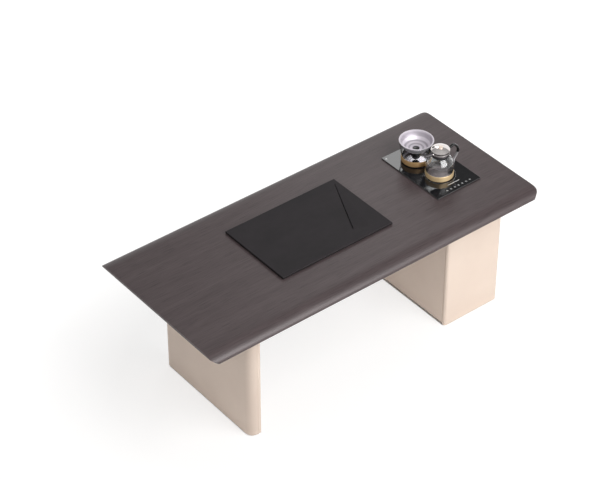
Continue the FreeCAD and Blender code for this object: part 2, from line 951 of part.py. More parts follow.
def touch_board():
    top = glass_bottom - flat_gap
    half = touch_board_width / 2
    y = touch_board_y()
    return block(stove_x - half, stove_x + half, y - touch_board_length / 2, y + touch_board_length / 2,
                 top - power_board_thickness, top)


def touch_posts():
    reach = touch_board_width / 2 - 2 * post_radius
    low = glass_bottom - flat_gap - power_board_thickness
    return [rod(stove_x + side * reach, touch_board_y(), tub_floor, low, post_radius) for side in (-1, 1)]


def power_board_z():
    return tub_floor + power_board_lift


def power_board():
    body = block(stove_x - power_board_width / 2, stove_x + power_board_width / 2,
                 pot_y - power_board_length / 2, pot_y + power_board_length / 2,
                 power_board_z(), power_board_z() + power_board_thickness)
    reach = 2 * bond_gap + post_radius
    return body.cut([rod(stove_x + dx, pot_y + dy, tub_floor, former_z(), reach)
                     for dx, dy in around(post_count, post_circle)])


def board_standoffs():
    dx = power_board_width / 2 - 2 * post_radius
    dy = power_board_length / 2 - 2 * post_radius
    return [rod(stove_x + sx * dx, pot_y + sy * dy, tub_floor, power_board_z(), post_radius)
            for sx in (-1, 1) for sy in (-1, 1)]


def heat_sink():
    z0 = power_board_z() + power_board_thickness
    half = heat_sink_width / 2
    y0 = pot_y - heat_sink_length / 2
    y1 = pot_y + heat_sink_length / 2
    pieces = [block(stove_x - half, stove_x + half, y0, y1, z0, z0 + heat_sink_base)]
    for x in spread(heat_sink_fin_count, stove_x - half, stove_x + half - heat_sink_fin):
        pieces.append(block(x, x + heat_sink_fin, y0, y1, z0, z0 + heat_sink_height))
    return merge(pieces)


# Cooling fan

def fan_frame():
    z1 = tub_floor + fan_depth
    body = rounded_plate(fan_size, fan_size, fan_corner, tub_floor, z1, stove_x, kettle_y)
    body = body.cut(rod(stove_x, kettle_y, tub_floor - cut_overrun, z1 + cut_overrun, fan_bore))
    pieces = [body, rod(stove_x, kettle_y, tub_floor, tub_floor + fan_boss_height, fan_boss_radius)]
    for step in range(fan_strut_count):
        strut = block(stove_x + fan_boss_radius / 2, stove_x + fan_bore + fan_tip_gap,
                      kettle_y - fan_strut_width / 2, kettle_y + fan_strut_width / 2,
                      tub_floor, tub_floor + fan_boss_height)
        strut.rotate(point(stove_x, kettle_y, 0), point(0, 0, 1), 360 * (step + 0.5) / fan_strut_count)
        pieces.append(strut)
    spindle = rod(stove_x, kettle_y, tub_floor, tub_floor + fan_boss_height + fan_hub_height / 2,
                  fan_spindle_radius)
    return merge(pieces + [spindle])


def blade_section(radius, pitch, middle_z):
    """A thin slanted rectangle across the blade, facing outwards at radius."""
    along = math.radians(pitch)
    half_chord = fan_blade_chord / 2
    half_thick = fan_blade_thickness / 2
    corners = []
    for chord_side, thick_side in ((-1, -1), (1, -1), (1, 1), (-1, 1)):
        run = chord_side * half_chord * math.cos(along) - thick_side * half_thick * math.sin(along)
        rise = chord_side * half_chord * math.sin(along) + thick_side * half_thick * math.cos(along)
        corners.append(point(stove_x + radius, kettle_y + run, middle_z + rise))
    return Part.makePolygon(corners + [corners[0]])


def fan_rotor():
    base = tub_floor + fan_boss_height + fan_tip_gap / 2
    hub = rod(stove_x, kettle_y, base, base + fan_hub_height, fan_hub_radius)
    top = [edge for edge in hub.Edges if edge.BoundBox.ZMin > base + fan_hub_height / 2]
    hub = hub.makeFillet(fan_hub_radius / 4, top)
    middle = base + fan_hub_height / 2
    tip = fan_bore - fan_tip_gap
    root = fan_hub_radius * arc_share
    sections = [blade_section(root, fan_root_pitch, middle), blade_section(tip, fan_tip_pitch, middle)]
    blade = Part.makeLoft(sections, True, True)
    pieces = [hub]
    for step in range(fan_blade_count):
        copy = blade.copy()
        copy.rotate(point(stove_x, kettle_y, 0), point(0, 0, 1), 360 * step / fan_blade_count)
        pieces.append(copy)
    bore = rod(stove_x, kettle_y, base - cut_overrun, middle + fan_tip_gap,
               fan_spindle_radius + fan_spindle_gap)
    outer = rod(stove_x, kettle_y, base - fan_blade_chord, base + 2 * fan_blade_chord, tip)
    limit = block(stove_x - tip, stove_x + tip, kettle_y - tip, kettle_y + tip,
                  base, base + fan_hub_height)
    return merge(pieces).common(outer.common(limit)).cut(bore)


# Foot of kettle and pot, each from its place and its gold band's radius

def foot_pan(x, y, band):
    radius = band - foot_pan_inset
    return turned(x, y, stove_top, (0, 0), [
        (radius - foot_pan_wall, 0),
        ((radius - foot_pan_wall * (1 - arc_share), foot_pan_wall * (1 - arc_share)),
         (radius, foot_pan_wall)),
        (radius, foot_pan_height),
        (radius - foot_pan_wall, foot_pan_height),
        (radius - foot_pan_wall, foot_pan_wall),
        (0, foot_pan_wall)])


def foot_seal(x, y, band):
    outer = band - foot_seal_inset
    inner = band - foot_pan_inset + bond_gap
    lip = inner + 2 * bond_gap + foot_pan_wall / 2
    z0 = foot_pan_wall
    z1 = z0 + foot_seal_thickness
    return turned(x, y, stove_top, (inner, z0), [
        (outer, z0), (outer, z1), (lip, z1),
        (lip, z1 + foot_seal_thickness), (inner, z1 + foot_seal_thickness)])


def foot_band(x, y, band):
    inner = band - foot_band_wall
    z0 = foot_pan_wall + foot_seal_thickness
    z1 = z0 + foot_band_height
    bulge = band + foot_band_wall / 2
    return turned(x, y, stove_top, (inner, z0), [
        (band, z0), ((bulge, (z0 + z1) / 2), (band, z1)), (inner, z1)])


def glass_foot_radius(band):
    return band - foot_band_wall - bond_gap


def glass_foot_z():
    return foot_pan_wall + foot_seal_thickness


# Kettle

def kettle_glass():
    foot_r = glass_foot_radius(kettle_band_radius)
    foot_z = glass_foot_z()
    band_z = foot_z + foot_band_height
    wall = vessel_wall
    rise_r = (foot_r + kettle_belly_radius) / 2 + bond_gap
    rise_z = (band_z + kettle_belly_height) / 2
    neck_top = kettle_neck_height + kettle_neck_length
    return turned(kettle_x, kettle_y, stove_top, (foot_r - wall, foot_z), [
        (foot_r, foot_z), (foot_r, band_z),
        ((rise_r, rise_z), (kettle_belly_radius, kettle_belly_height)),
        ((kettle_shoulder_radius, kettle_shoulder_height), (kettle_neck_radius, kettle_neck_height)),
        (kettle_neck_radius, neck_top), (kettle_neck_radius - wall, neck_top),
        (kettle_neck_radius - wall, kettle_neck_height - wall),
        ((kettle_shoulder_radius - wall, kettle_shoulder_height - wall),
         (kettle_belly_radius - wall, kettle_belly_height)),
        ((rise_r - wall, rise_z), (foot_r - wall, band_z))])


def kettle_neck_ring():
    """Black seal between the glass neck and the steel collar."""
    inner = kettle_neck_radius + bond_gap
    neck_top = kettle_neck_height + kettle_neck_length
    z0 = collar_base - neck_ring_height
    return turned(kettle_x, kettle_y, stove_top, (inner, z0 + vessel_wall), [
        (inner + bond_gap, z0), (neck_ring_radius, z0), (neck_ring_radius, collar_base),
        (kettle_neck_radius - vessel_wall, collar_base), (kettle_neck_radius - vessel_wall, neck_top),
        (inner, neck_top)])


def spout_loft(shrink, start, overrun):
    """The beak: ovals that narrow from the collar to the tip, along local X."""
    sections = []
    middle_z = (collar_base + collar_top) / 2
    reach = spout_reach + overrun - start
    for share in (0, 0.35, 0.7, 1):
        narrowing = (spout_root_width - spout_tip_width) * math.sqrt(share)
        across = spout_root_width - narrowing - shrink
        tall = spout_root_height + (spout_tip_height - spout_root_height) * share - shrink
        place = point(start + reach * share, 0, middle_z - spout_drop * share)
        oval = Part.Ellipse(place + point(0, across, 0), place + point(0, 0, tall), place)
        sections.append(Part.Wire(oval.toShape()))
    return Part.makeLoft(sections, True, False)


def kettle_collar():
    inner = collar_radius - collar_wall
    ring = turned(0, 0, 0, (inner, collar_base), [
        (collar_radius, collar_base), (collar_radius, collar_top), (inner, collar_top)])
    start = collar_radius - 2 * collar_wall
    body = ring.fuse(spout_loft(0, start, 0))
    cavity = rod(0, 0, collar_base - cut_overrun, collar_top + cut_overrun, inner)
    channel = spout_loft(spout_wall, start - cut_overrun, cut_overrun)
    body = body.cut([cavity, channel])
    body.rotate(point(0, 0, 0), point(0, 0, 1), 180)
    return kettle_placed(body)


def kettle_placed(body):
    body.rotate(point(0, 0, 0), point(0, 0, 1), kettle_turn)
    body.translate(point(kettle_x, kettle_y, stove_top))
    return body


def handle_line():
    """Points down the middle of the handle, as radius and height."""
    root = collar_radius
    rise = handle_top - handle_thickness / 2 - handle_foot_height
    bulge = handle_reach - handle_thickness / 2 - root
    points = [(root + bulge * along, handle_foot_height + rise * up) for along, up in handle_line_shares]
    return points + [(handle_foot_radius, handle_foot_height)]


def handle_edge(side):
    """One edge of the handle: the middle line set off by half the thickness."""
    line = handle_line()
    edge = []
    for index, (radius, height) in enumerate(line):
        before = line[max(index - 1, 0)]
        after = line[min(index + 1, len(line) - 1)]
        run = after[0] - before[0]
        rise = after[1] - before[1]
        size = math.hypot(run, rise)
        shift = side * handle_thickness / 2
        edge.append(point(radius - rise / size * shift, 0, height + run / size * shift))
    return edge


def kettle_handle():
    outer = handle_edge(1)
    inner = handle_edge(-1)
    upper = Part.BSplineCurve()
    upper.interpolate(outer)
    lower = Part.BSplineCurve()
    lower.interpolate(inner)
    edges = [upper.toShape(), Part.LineSegment(outer[-1], inner[-1]).toShape(),
             lower.toShape(), Part.LineSegment(inner[0], outer[0]).toShape()]
    face = Part.Face(Part.Wire(Part.__sortEdges__(edges)))
    body = face.extrude(point(0, handle_width, 0))
    body.translate(point(0, -handle_width / 2, 0))
    long_edges = [edge for edge in body.Edges if edge.Length > handle_reach]
    body = body.makeFillet(handle_round, long_edges)
    return body.cut([kettle_globe(), handle_keep_out()])


def handle_keep_out():
    """What the handle stays clear of: the collar, and the lid as it lifts."""
    collar = rod(0, 0, 0, collar_top, collar_radius + bond_gap)
    lid = rod(0, 0, collar_top - lid_lip, 2 * collar_top, lid_radius + lid_lip)
    return collar.fuse(lid)


def handle_clip():
    """Steel clip that ties the handle's lower end to the glass."""
    outer = handle_foot_radius + handle_thickness / 2 + clip_thickness
    half = handle_width / 2 + clip_thickness
    low = handle_foot_height - clip_height
    body = block(kettle_shoulder_radius, outer, -half, half, low, low + 2 * clip_height)
    ends = [edge for edge in body.Edges if is_upright(edge) and edge.BoundBox.Center.x > handle_foot_radius]
    body = body.makeFillet(handle_round, ends)
    return body.cut([kettle_globe(), kettle_handle()])


def kettle_globe():
    """The outside of the kettle's glass as one solid, grown by the bond gap."""
    radius = kettle_belly_radius + bond_gap
    shoulder = kettle_shoulder_radius + bond_gap
    return turned(0, 0, 0, (0, 0), [
        (radius, 0), (radius, kettle_belly_height),
        ((shoulder, kettle_shoulder_height), (kettle_neck_radius + bond_gap, kettle_neck_height)),
        (0, kettle_neck_height)])


def kettle_lid():
    plug = collar_radius - collar_wall - lid_plug_gap
    lip_z = collar_top + lid_lip
    crown = lip_z + lid_dome
    inner = plug - lid_sheet
    low = collar_top - lid_plug_depth
    shell = turned(0, 0, 0, (0, low), [
        (plug, low), (plug, collar_top), (lid_radius, collar_top), (lid_radius, lip_z),
        dome_arc(lid_radius, lip_z, lid_dome)])
    hollow = turned(0, 0, 0, (0, low - cut_overrun), [
        (inner, low - cut_overrun), (inner, collar_top),
        dome_arc(inner, collar_top, lid_lip + lid_dome - lid_sheet)])
    body = shell.cut(hollow)
    vent = rod(-lid_vent_place, 0, collar_top - lid_plug_depth, crown + cut_overrun, lid_vent_radius)
    stem = rod(0, 0, collar_top, crown + cut_overrun, lid_knob_stem / 2)
    body = body.cut([vent, stem])
    body.rotate(point(0, 0, 0), point(0, 0, 1), lid_turn)
    return kettle_placed(body)


def kettle_lid_knob():
    crown = collar_top + lid_lip + lid_dome
    low = crown - 2 * lid_sheet
    stem = lid_knob_stem / 2 - bond_gap
    rim_z = crown + lid_knob_height / 2
    body = turned(0, 0, 0, (0, low), [
        (stem, low), (stem, crown), (lid_knob_radius * arc_share, crown), (lid_knob_radius, rim_z),
        dome_arc(lid_knob_radius, rim_z, lid_knob_height / 2)])
    return kettle_placed(body)


# Pot with its lid upside down

def pot_glass():
    foot_r = glass_foot_radius(pot_band_radius)
    foot_z = glass_foot_z()
    band_z = foot_z + foot_band_height
    wall = vessel_wall
    return turned(pot_x, pot_y, stove_top, (foot_r - wall, foot_z), [
        (foot_r, foot_z), (foot_r, band_z),
        ((pot_waist_radius, pot_waist_height), (pot_mouth_radius, pot_height - wall / 2)),
        ((pot_mouth_radius - wall / 2, pot_height), (pot_mouth_radius - wall, pot_height - wall / 2)),
        ((pot_waist_radius - wall, pot_waist_height), (foot_r - wall, band_z))])


def pot_lid():
    """A pressed steel dish: rolled rim, leaning wall, crease and a low dome."""
    mouth = pot_mouth_radius - vessel_wall - pot_lid_mouth_gap
    rim_z = pot_height
    thick = pot_lid_sheet
    low = rim_z - pot_lid_depth
    crease_z = rim_z - pot_crease_depth
    wall_r = (mouth + pot_crease_radius) / 2 + pot_lid_bulge
    wall_z = (rim_z + crease_z) / 2 - pot_lid_bulge
    dome_r = (pot_crease_radius + pot_lid_flat) / 2
    dome_z = (crease_z + low) / 2 - pot_lid_bulge
    body = turned(0, 0, 0, (0, low - thick), [
        (pot_lid_flat, low - thick),
        ((dome_r, dome_z - thick), (pot_crease_radius, crease_z - thick)),
        ((wall_r, wall_z - thick / 2), (mouth, rim_z)),
        (pot_lid_radius - pot_lid_flange / 2, rim_z),
        ((pot_lid_radius, rim_z + pot_lid_flange / 2),
         (pot_lid_radius - pot_lid_flange / 2, rim_z + pot_lid_flange)),
        (mouth - thick, rim_z + pot_lid_flange),
        ((wall_r - thick, wall_z + thick / 2), (pot_crease_radius - thick / 2, crease_z)),
        ((dome_r, dome_z), (pot_lid_flat, low)),
        (0, low)])
    hole = rod(0, 0, low - thick - cut_overrun, low + cut_overrun, pot_screw_radius + bond_gap)
    return pot_placed(body.cut(hole))


def pot_placed(body):
    body.translate(point(pot_x, pot_y, stove_top))
    return body


def knob_seat():
    return pot_height - pot_lid_depth - pot_lid_sheet


def pot_lid_knob():
    """A barrel of a knob, hanging under the lid while that lies upside down."""
    top = knob_seat()
    low = top - pot_knob_length
    bend = pot_knob_round * (1 - arc_share)
    body = turned(0, 0, 0, (0, low), [
        (pot_knob_end - pot_knob_round, low),
        ((pot_knob_end - bend, low + bend), (pot_knob_end, low + pot_knob_round)),
        ((pot_knob_belly, low + pot_knob_length * knob_belly_share), (pot_knob_top, top)),
        (0, top)])
    stem = rod(0, 0, top, top + pot_lid_sheet + bond_gap, pot_screw_radius)
    return pot_placed(body.fuse(stem))


def pot_lid_washer():
    low = knob_seat() + pot_lid_sheet
    body = turned(0, 0, 0, (0, low + bond_gap), [
        (pot_screw_radius, low + bond_gap), (pot_screw_radius, low), (pot_washer_radius, low),
        dome_arc(pot_washer_radius, low, pot_washer_thickness)])
    return pot_placed(body)


# Tea tray

def tray_point(shares):
    return (tray_x - tray_length / 2 + tray_length * shares[0],
            tray_y - tray_width / 2 + tray_width * shares[1])


def tray_run():
    """The slot's back and front end, and the level direction across it to the right."""
    start = tray_point(groove_start_shares)
    end = tray_point(groove_end_shares)
    run = (end[0] - start[0], end[1] - start[1])
    size = math.hypot(run[0], run[1])
    return start, end, (-run[1] / size, run[0] / size)


def tray_facet():
    """A shallow slanted cut beside the slot, so that water runs to the slot."""
    start, end, across = tray_run()
    deep = tray_top - tray_groove_depth
    corners = [point(end[0], end[1], deep), point(start[0], start[1], tray_top),
               point(end[0] + across[0] * tray_facet_width, end[1] + across[1] * tray_facet_width, tray_top),
               point(end[0], end[1], tray_top)]
    faces = [Part.Face(Part.makePolygon([corners[a], corners[b], corners[c], corners[a]]))
             for a, b, c in ((0, 1, 2), (0, 1, 3), (1, 2, 3), (0, 2, 3))]
    return Part.Solid(Part.Shell(faces))


def tray_slot():
    """The blind slot that catches spilt water: narrow at the back, wide in front."""
    start, end, across = tray_run()
    corners = []
    for place, width, side in ((start, tray_slot_back, -1), (start, tray_slot_back, 1),
                               (end, tray_slot_front, 1), (end, tray_slot_front, -1)):
        reach = side * width / 2
        corners.append(point(place[0] + across[0] * reach, place[1] + across[1] * reach,
                             tray_top - tray_slot_depth))
    face = Part.Face(Part.makePolygon(corners + corners[:1]))
    return face.extrude(point(0, 0, tray_slot_depth + cut_overrun))


def tea_tray():
    body = block(tray_x - tray_length / 2, tray_x + tray_length / 2,
                 tray_y - tray_width / 2, tray_y + tray_width / 2, tray_bottom, tray_top)
    rim = [edge for edge in body.Edges if edge.BoundBox.ZMin > tray_top - bond_gap]
    return body.makeChamfer(tray_edge, rim).cut([tray_facet(), tray_slot()])


def tray_pads():
    reach_x = tray_length / 2 - tray_pad_inset
    reach_y = tray_width / 2 - tray_pad_inset
    return [rod(tray_x + dx, tray_y + dy, table_height, tray_bottom, tray_pad_radius)
            for dx in (-reach_x, 0, reach_x) for dy in (-reach_y, reach_y)]


# Every piece, one file each

save("table_top", table_top())
save("stiffener_channels", group([stiffening_channel(side) for side in (-1, 1)]))
save("stiffener_screws", group([channel_screw(x, side * channel_line)
                                for side in (-1, 1) for x in channel_screw_places()]))
save("fixing_bolts", group([fixing_bolt(x, y) for x, y in leg_bolt_places() + cabinet_bolt_places()]))
save("insert_nuts", group([insert_nut(x, y) for x, y in leg_bolt_places() + cabinet_bolt_places()]))

save("left_leg_shell", left_leg_shell())
save("left_leg_inner_panel", left_leg_inner_panel())
save("left_leg_top_board", left_leg_top_board())
save("left_leg_base_board", left_leg_base_board())
save("left_leg_dowels", group(leg_dowels()))
save("left_leg_glides", group([glide(x, y, floor_gap) for x, y in leg_glide_places()]))

save("cabinet_shell", cabinet_shell())
save("cabinet_top_board", cabinet_top_board())
save("cabinet_base_board", cabinet_base_board())
save("cabinet_shelf", cabinet_shelf())
save("shelf_pins", group([shelf_pin(x, side) for x in shelf_pin_places() for side in (-1, 1)]))
save("cabinet_dowels", group(cabinet_dowels()))
save("cabinet_glides", group([glide(x, y, cabinet_plinth) for x, y in cabinet_bolt_places()]))
save("cable_grommet", cable_grommet())

save("cabinet_door", cabinet_door())
save("door_pivot_pins", group([pivot_pin_at(span) for span in pivot_spans()]))
save("door_pivot_plates", group([pivot_plate_at(cabinet_plinth - pivot_plate),
                                 pivot_plate_at(underside - pivot_plate)]))
save("door_pivot_bushes", group([pivot_bush(cabinet_plinth - pivot_plate, 1),
                                 pivot_bush(underside - pivot_plate, -1)]))
save("latch_housing", latch_housing())
save("latch_plunger", latch_plunger())
save("latch_strike", latch_strike())

save("stove_glass", stove_glass_plate())
save("stove_gasket", stove_gasket())
save("stove_case", stove_case())
save("stove_clamps", group([stove_clamp(side, stove_y + end * clamp_inset)
                            for side in (-1, 1) for end in (-1, 1)]))
save("power_inlet", power_inlet())
save("front_coil", coil_winding(kettle_y))
save("back_coil", coil_winding(pot_y))
save("coil_formers", group([coil_former(kettle_y), coil_former(pot_y)]))
save("mica_discs", group([mica_disc(kettle_y), mica_disc(pot_y)]))
save("tub_posts", group(ring_posts(kettle_y) + ring_posts(pot_y) + touch_posts() + board_standoffs()))
save("power_board", power_board())
save("heat_sink", heat_sink())
save("touch_board", touch_board())
save("fan_frame", fan_frame())
save("fan_rotor", fan_rotor())

save("kettle_base_pan", foot_pan(kettle_x, kettle_y, kettle_band_radius))
save("kettle_base_seal", foot_seal(kettle_x, kettle_y, kettle_band_radius))
save("kettle_band", foot_band(kettle_x, kettle_y, kettle_band_radius))
save("kettle_glass", kettle_glass())
save("kettle_neck_ring", kettle_neck_ring())
save("kettle_collar", kettle_collar())
save("kettle_handle", kettle_placed(kettle_handle()))
save("kettle_handle_clip", kettle_placed(handle_clip()))
save("kettle_lid", kettle_lid())
save("kettle_lid_knob", kettle_lid_knob())

save("pot_base_pan", foot_pan(pot_x, pot_y, pot_band_radius))
save("pot_base_seal", foot_seal(pot_x, pot_y, pot_band_radius))
save("pot_band", foot_band(pot_x, pot_y, pot_band_radius))
save("pot_glass", pot_glass())
save("pot_lid", pot_lid())
save("pot_lid_knob", pot_lid_knob())
save("pot_lid_washer", pot_lid_washer())

save("tea_tray", tea_tray())
save("tray_pads", group(tray_pads()))
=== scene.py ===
import math

import bmesh
import bpy
import numpy as np
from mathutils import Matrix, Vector


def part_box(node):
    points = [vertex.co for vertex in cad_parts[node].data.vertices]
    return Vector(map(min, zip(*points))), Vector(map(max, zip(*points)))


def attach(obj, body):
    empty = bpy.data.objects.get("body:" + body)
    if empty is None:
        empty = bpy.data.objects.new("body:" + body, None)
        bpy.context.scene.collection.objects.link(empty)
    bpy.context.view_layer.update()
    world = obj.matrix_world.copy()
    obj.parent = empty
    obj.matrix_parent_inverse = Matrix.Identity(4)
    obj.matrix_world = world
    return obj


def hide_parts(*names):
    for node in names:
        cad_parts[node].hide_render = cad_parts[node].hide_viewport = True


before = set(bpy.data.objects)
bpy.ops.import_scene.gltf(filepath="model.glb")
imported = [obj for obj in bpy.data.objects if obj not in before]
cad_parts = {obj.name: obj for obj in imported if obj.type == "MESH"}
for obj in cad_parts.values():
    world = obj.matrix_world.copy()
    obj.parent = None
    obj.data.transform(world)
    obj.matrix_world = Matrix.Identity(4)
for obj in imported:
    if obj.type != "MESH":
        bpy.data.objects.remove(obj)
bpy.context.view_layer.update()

# The camera looks down on the table's front left corner with a long lens, as
# the photograph does.  Its place comes from the straight edges of the table.

camera_turn = math.radians(-38.55)
camera_drop = math.radians(38.64)
camera_place = Vector((-5.479, -6.653, 7.546))
camera_focal_px = 2186.9
image_width_px = 594
sensor_width_mm = 36.0
view_reach = 60.0


def placed(name, data):
    """A new object in the scene."""
    made = bpy.data.objects.new(name, data)
    bpy.context.scene.collection.objects.link(made)
    return made


camera_data = bpy.data.cameras.new("studio_camera")
camera_data.sensor_width = sensor_width_mm
camera_data.lens = camera_focal_px * sensor_width_mm / image_width_px
camera_data.clip_end = view_reach
camera = placed("studio_camera", camera_data)
camera.location = camera_place
camera.rotation_euler = (math.pi / 2 - camera_drop, 0.0, camera_turn)
bpy.context.scene.camera = camera
bpy.context.scene.view_settings.view_transform = "Standard"


# The studio is a plain pale floor under one large soft box at the front right,
# with a small card behind.  Three classes write every finish: Field is a socket
# that Python arithmetic builds on, Nodes a node tree, Finish one material.

def operation(kind, swapped=False):
    """A method that adds the Math node of a kind, its two inputs swapped where asked."""
    def method(self, other=None):
        inputs = (self,) if other is None else (other, self) if swapped else (self, other)
        return self.finish.node("ShaderNodeMath", {"operation": kind}, dict(enumerate(inputs)))
    return method


class Field:
    """A value inside a material.  Adding, multiplying and so on adds the Math node."""

    def __init__(self, finish, socket):
        self.finish = finish
        self.socket = socket

    __add__ = operation("ADD")
    __radd__ = operation("ADD", swapped=True)
    __sub__ = operation("SUBTRACT")
    __rsub__ = operation("SUBTRACT", swapped=True)
    __mul__ = operation("MULTIPLY")
    __rmul__ = operation("MULTIPLY", swapped=True)
    __truediv__ = operation("DIVIDE")
    __pow__ = operation("POWER")
    __abs__ = operation("ABSOLUTE")
    __gt__ = operation("GREATER_THAN")
    __lt__ = operation("LESS_THAN")


class Nodes:
    """The node tree of a material or of the world."""

    def __init__(self, tree):
        self.tree = tree

    def node(self, kind, settings, values, output=0):
        made = self.tree.nodes.new(kind)
        for key, value in settings.items():
            if key == "stops":
                self.fill_ramp(made.color_ramp, value)
            else:
                setattr(made, key, value)
        for key, value in values.items():
            if isinstance(value, Field):
                self.tree.links.new(value.socket, made.inputs[key])
            else:
                made.inputs[key].default_value = value
        return Field(self, made.outputs[output])

    def fill_ramp(self, ramp, stops):
        while len(ramp.elements) < len(stops):
            ramp.elements.new(0.5)
        for element, (place, colour) in zip(ramp.elements, stops):
            element.position = place
            element.color = (*colour, 1.0)

    def ramp(self, field, stops):
        return self.node("ShaderNodeValToRGB", {"stops": stops}, {"Fac": field}, "Color")

    def blend(self, factor, first, second, kind="MIX"):
        """The first colour where the factor is 0, the second where it is 1."""
        return self.node("ShaderNodeMix", {"data_type": "RGBA", "blend_type": kind},
                         {0: factor, 6: first, 7: second}, 2)

    def larger(self, first, second):
        return self.node("ShaderNodeMath", {"operation": "MAXIMUM"}, {0: first, 1: second})

    def ray(self, *kinds):
        """1 for light paths of the named kinds, else 0."""
        total, *others = (self.node("ShaderNodeLightPath", {}, {}, kind) for kind in kinds)
        for field in others:
            total = self.larger(total, field)
        return total

    def axes(self, centre):
        """Object coordinates in metres, one field for each number of the centre."""
        point = self.node("ShaderNodeTexCoord", {}, {}, "Object")
        return [self.node("ShaderNodeSeparateXYZ", {}, {0: point}, axis) - middle
                for axis, middle in enumerate(centre)]

    def off_axis(self, centre):
        """Distance from the upright axis through the centre."""
        x, y = self.axes(centre[:2])
        return (x * x + y * y) ** 0.5


class Finish(Nodes):
    """One material with a Principled shader, whose fixed values are set directly."""

    def __init__(self, name, **fixed):
        self.material = bpy.data.materials.new(name)
        self.material.use_nodes = True
        super().__init__(self.material.node_tree)
        self.shader = self.tree.nodes["Principled BSDF"]
        for key, value in fixed.items():
            self.shader.inputs[key.replace("_", " ")].default_value = value

    def into(self, socket, field):
        self.tree.links.new(field.socket, self.shader.inputs[socket])

    def place(self, stretch=(1.0, 1.0, 1.0)):
        """Object coordinates in metres, stretched for a grain."""
        point = self.node("ShaderNodeTexCoord", {}, {}, "Object")
        return self.node("ShaderNodeMapping", {}, {"Vector": point, "Scale": stretch})

    def noise(self, place, scale, detail, rough=0.55):
        return self.node("ShaderNodeTexNoise", {}, {"Vector": place, "Scale": scale,
                                                    "Detail": detail, "Roughness": rough}, "Fac")

    def tones(self, field, low, high):
        """One screen colour up to 0.3 of the field, the other from 0.7, blended between."""
        return self.ramp(field, [(0.3, linear(*low)), (0.7, linear(*high))])

    def relief(self, field, depth, strength):
        bump = self.node("ShaderNodeBump", {},
                         {"Height": field, "Distance": depth, "Strength": strength}, "Normal")
        self.into("Normal", bump)


def linear(red, green, blue):
    """A colour read as 0 to 255 screen values, as Blender's linear colour."""
    screen = np.array([red, green, blue]) / 255.0
    value = np.where(screen <= 0.04045, screen / 12.92, ((screen + 0.055) / 1.055) ** 2.4)
    return tuple(float(v) for v in value)


floor_reach = 14.0
floor_tones = (251, 249, 248), (253, 252, 251)
backdrop_share = 0.55
backdrop_glow = 1.23
backdrop_tint = (1.0, 0.997, 0.994, 1.0)
floor_stretch = 1.5
shade_near = 0.8
shade_far = 1.9
leg_corner = 0.046
cabinet_corner = 0.028
mirror_sky = [(0.0, 1.0), (0.53, 0.95), (0.58, 0.24), (0.8, 0.3), (0.92, 0.42), (1.0, 0.46)]
ambient_light = 0.42


def white_floor():
    """Seen as white far off, with less glow near the table so its lit shade shows, and a painted
    shadow under the pedestals.
    """
    pale = Finish("pale_floor", Roughness=0.9, Specular_IOR_Level=0.1)
    pale.into("Base Color", pale.tones(pale.noise(pale.place(), 0.7, 2.0), *floor_tones))
    seen = pale.ray("Is Camera Ray", "Is Glossy Ray", "Is Transmission Ray")
    x, y = pale.axes((0.0, 0.0))
    away = ((x * x / floor_stretch ** 2 + y * y) ** 0.5 - shade_near) / (shade_far - shade_near)
    away = pale.node("ShaderNodeMath", {"operation": "ADD", "use_clamp": True}, {0: away, 1: 0.0})
    share = backdrop_share + (1.0 - backdrop_share) * away
    # Painted shadow: under each pedestal's footprint the glow is masked off, so the floor there
    # shows dark.
    painted_footprint_shadow = 0.0
    for pedestal, corner in (("left_leg_shell", leg_corner), ("cabinet_shell", cabinet_corner)):
        low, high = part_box(pedestal)
        across = abs(x - (low.x + high.x) / 2) - ((high.x - low.x) / 2 - corner)
        along = abs(y - (low.y + high.y) / 2) - ((high.y - low.y) / 2 - corner)
        across, along = ((beyond + abs(beyond)) / 2 for beyond in (across, along))
        painted_footprint_shadow = painted_footprint_shadow + (across * across + along * along < corner ** 2)
    lit = Field(pale, pale.shader.outputs[0])
    glow = pale.node("ShaderNodeEmission", {}, {"Color": backdrop_tint, "Strength": backdrop_glow})
    shown = pale.node("ShaderNodeMixShader", {},
                      {0: share * seen * (1.0 - painted_footprint_shadow), 1: lit, 2: glow})
    pale.tree.links.new(shown.socket, pale.tree.nodes["Material Output"].inputs["Surface"])
    return pale


def mesh_piece(name, points, faces, caps=()):
    """A mesh object from an array of points, an array of four-sided faces, and caps."""
    mesh = bpy.data.meshes.new(name)
    mesh.from_pydata(points.reshape(-1, 3), [], faces.tolist() + list(caps))
    return placed(name, mesh)


def studio_floor():
    """A square round the origin, which isn't part of the object."""
    corners = floor_reach * np.array([(-1, -1, 0), (1, -1, 0), (1, 1, 0), (-1, 1, 0)])
    floor = mesh_piece("studio_floor", corners, np.array([(0, 1, 2, 3)]))
    floor.data.materials.append(white_floor().material)


def studio_world():
    """White to the camera, softer as light, and for mirrors white low down and dim overhead."""
    world = bpy.data.worlds.new("studio_world")
    world.use_nodes = True
    bpy.context.scene.world = world
    sky = Nodes(world.node_tree)
    direction = sky.node("ShaderNodeTexCoord", {}, {}, "Generated")
    rise = sky.node("ShaderNodeSeparateXYZ", {}, {0: direction}, 2)
    mirrored = sky.ramp(rise, [(place, (value, value, value)) for place, value in mirror_sky])
    white, soft = ((value, value, value, 1.0) for value in (1.0, ambient_light))
    plain = sky.blend(sky.ray("Is Diffuse Ray"), white, soft)
    shown = sky.blend(sky.ray("Is Glossy Ray"), plain, mirrored)
    sky.tree.links.new(shown.socket, sky.tree.nodes["Background"].inputs["Color"])


def soft_box(name, place, aim, size, power, only_mirrored=False):
    """An area lamp that the camera doesn't see; a mirrored one is only a highlight."""
    lamp = bpy.data.lights.new(name, "AREA")
    lamp.shape = "RECTANGLE"
    lamp.size, lamp.size_y = size
    lamp.energy = power
    box = placed(name, lamp)
    box.location = place
    box.rotation_euler = (Vector(aim) - Vector(place)).to_track_quat("-Z", "Y").to_euler()
    box.visible_camera = False
    box.visible_diffuse = not only_mirrored


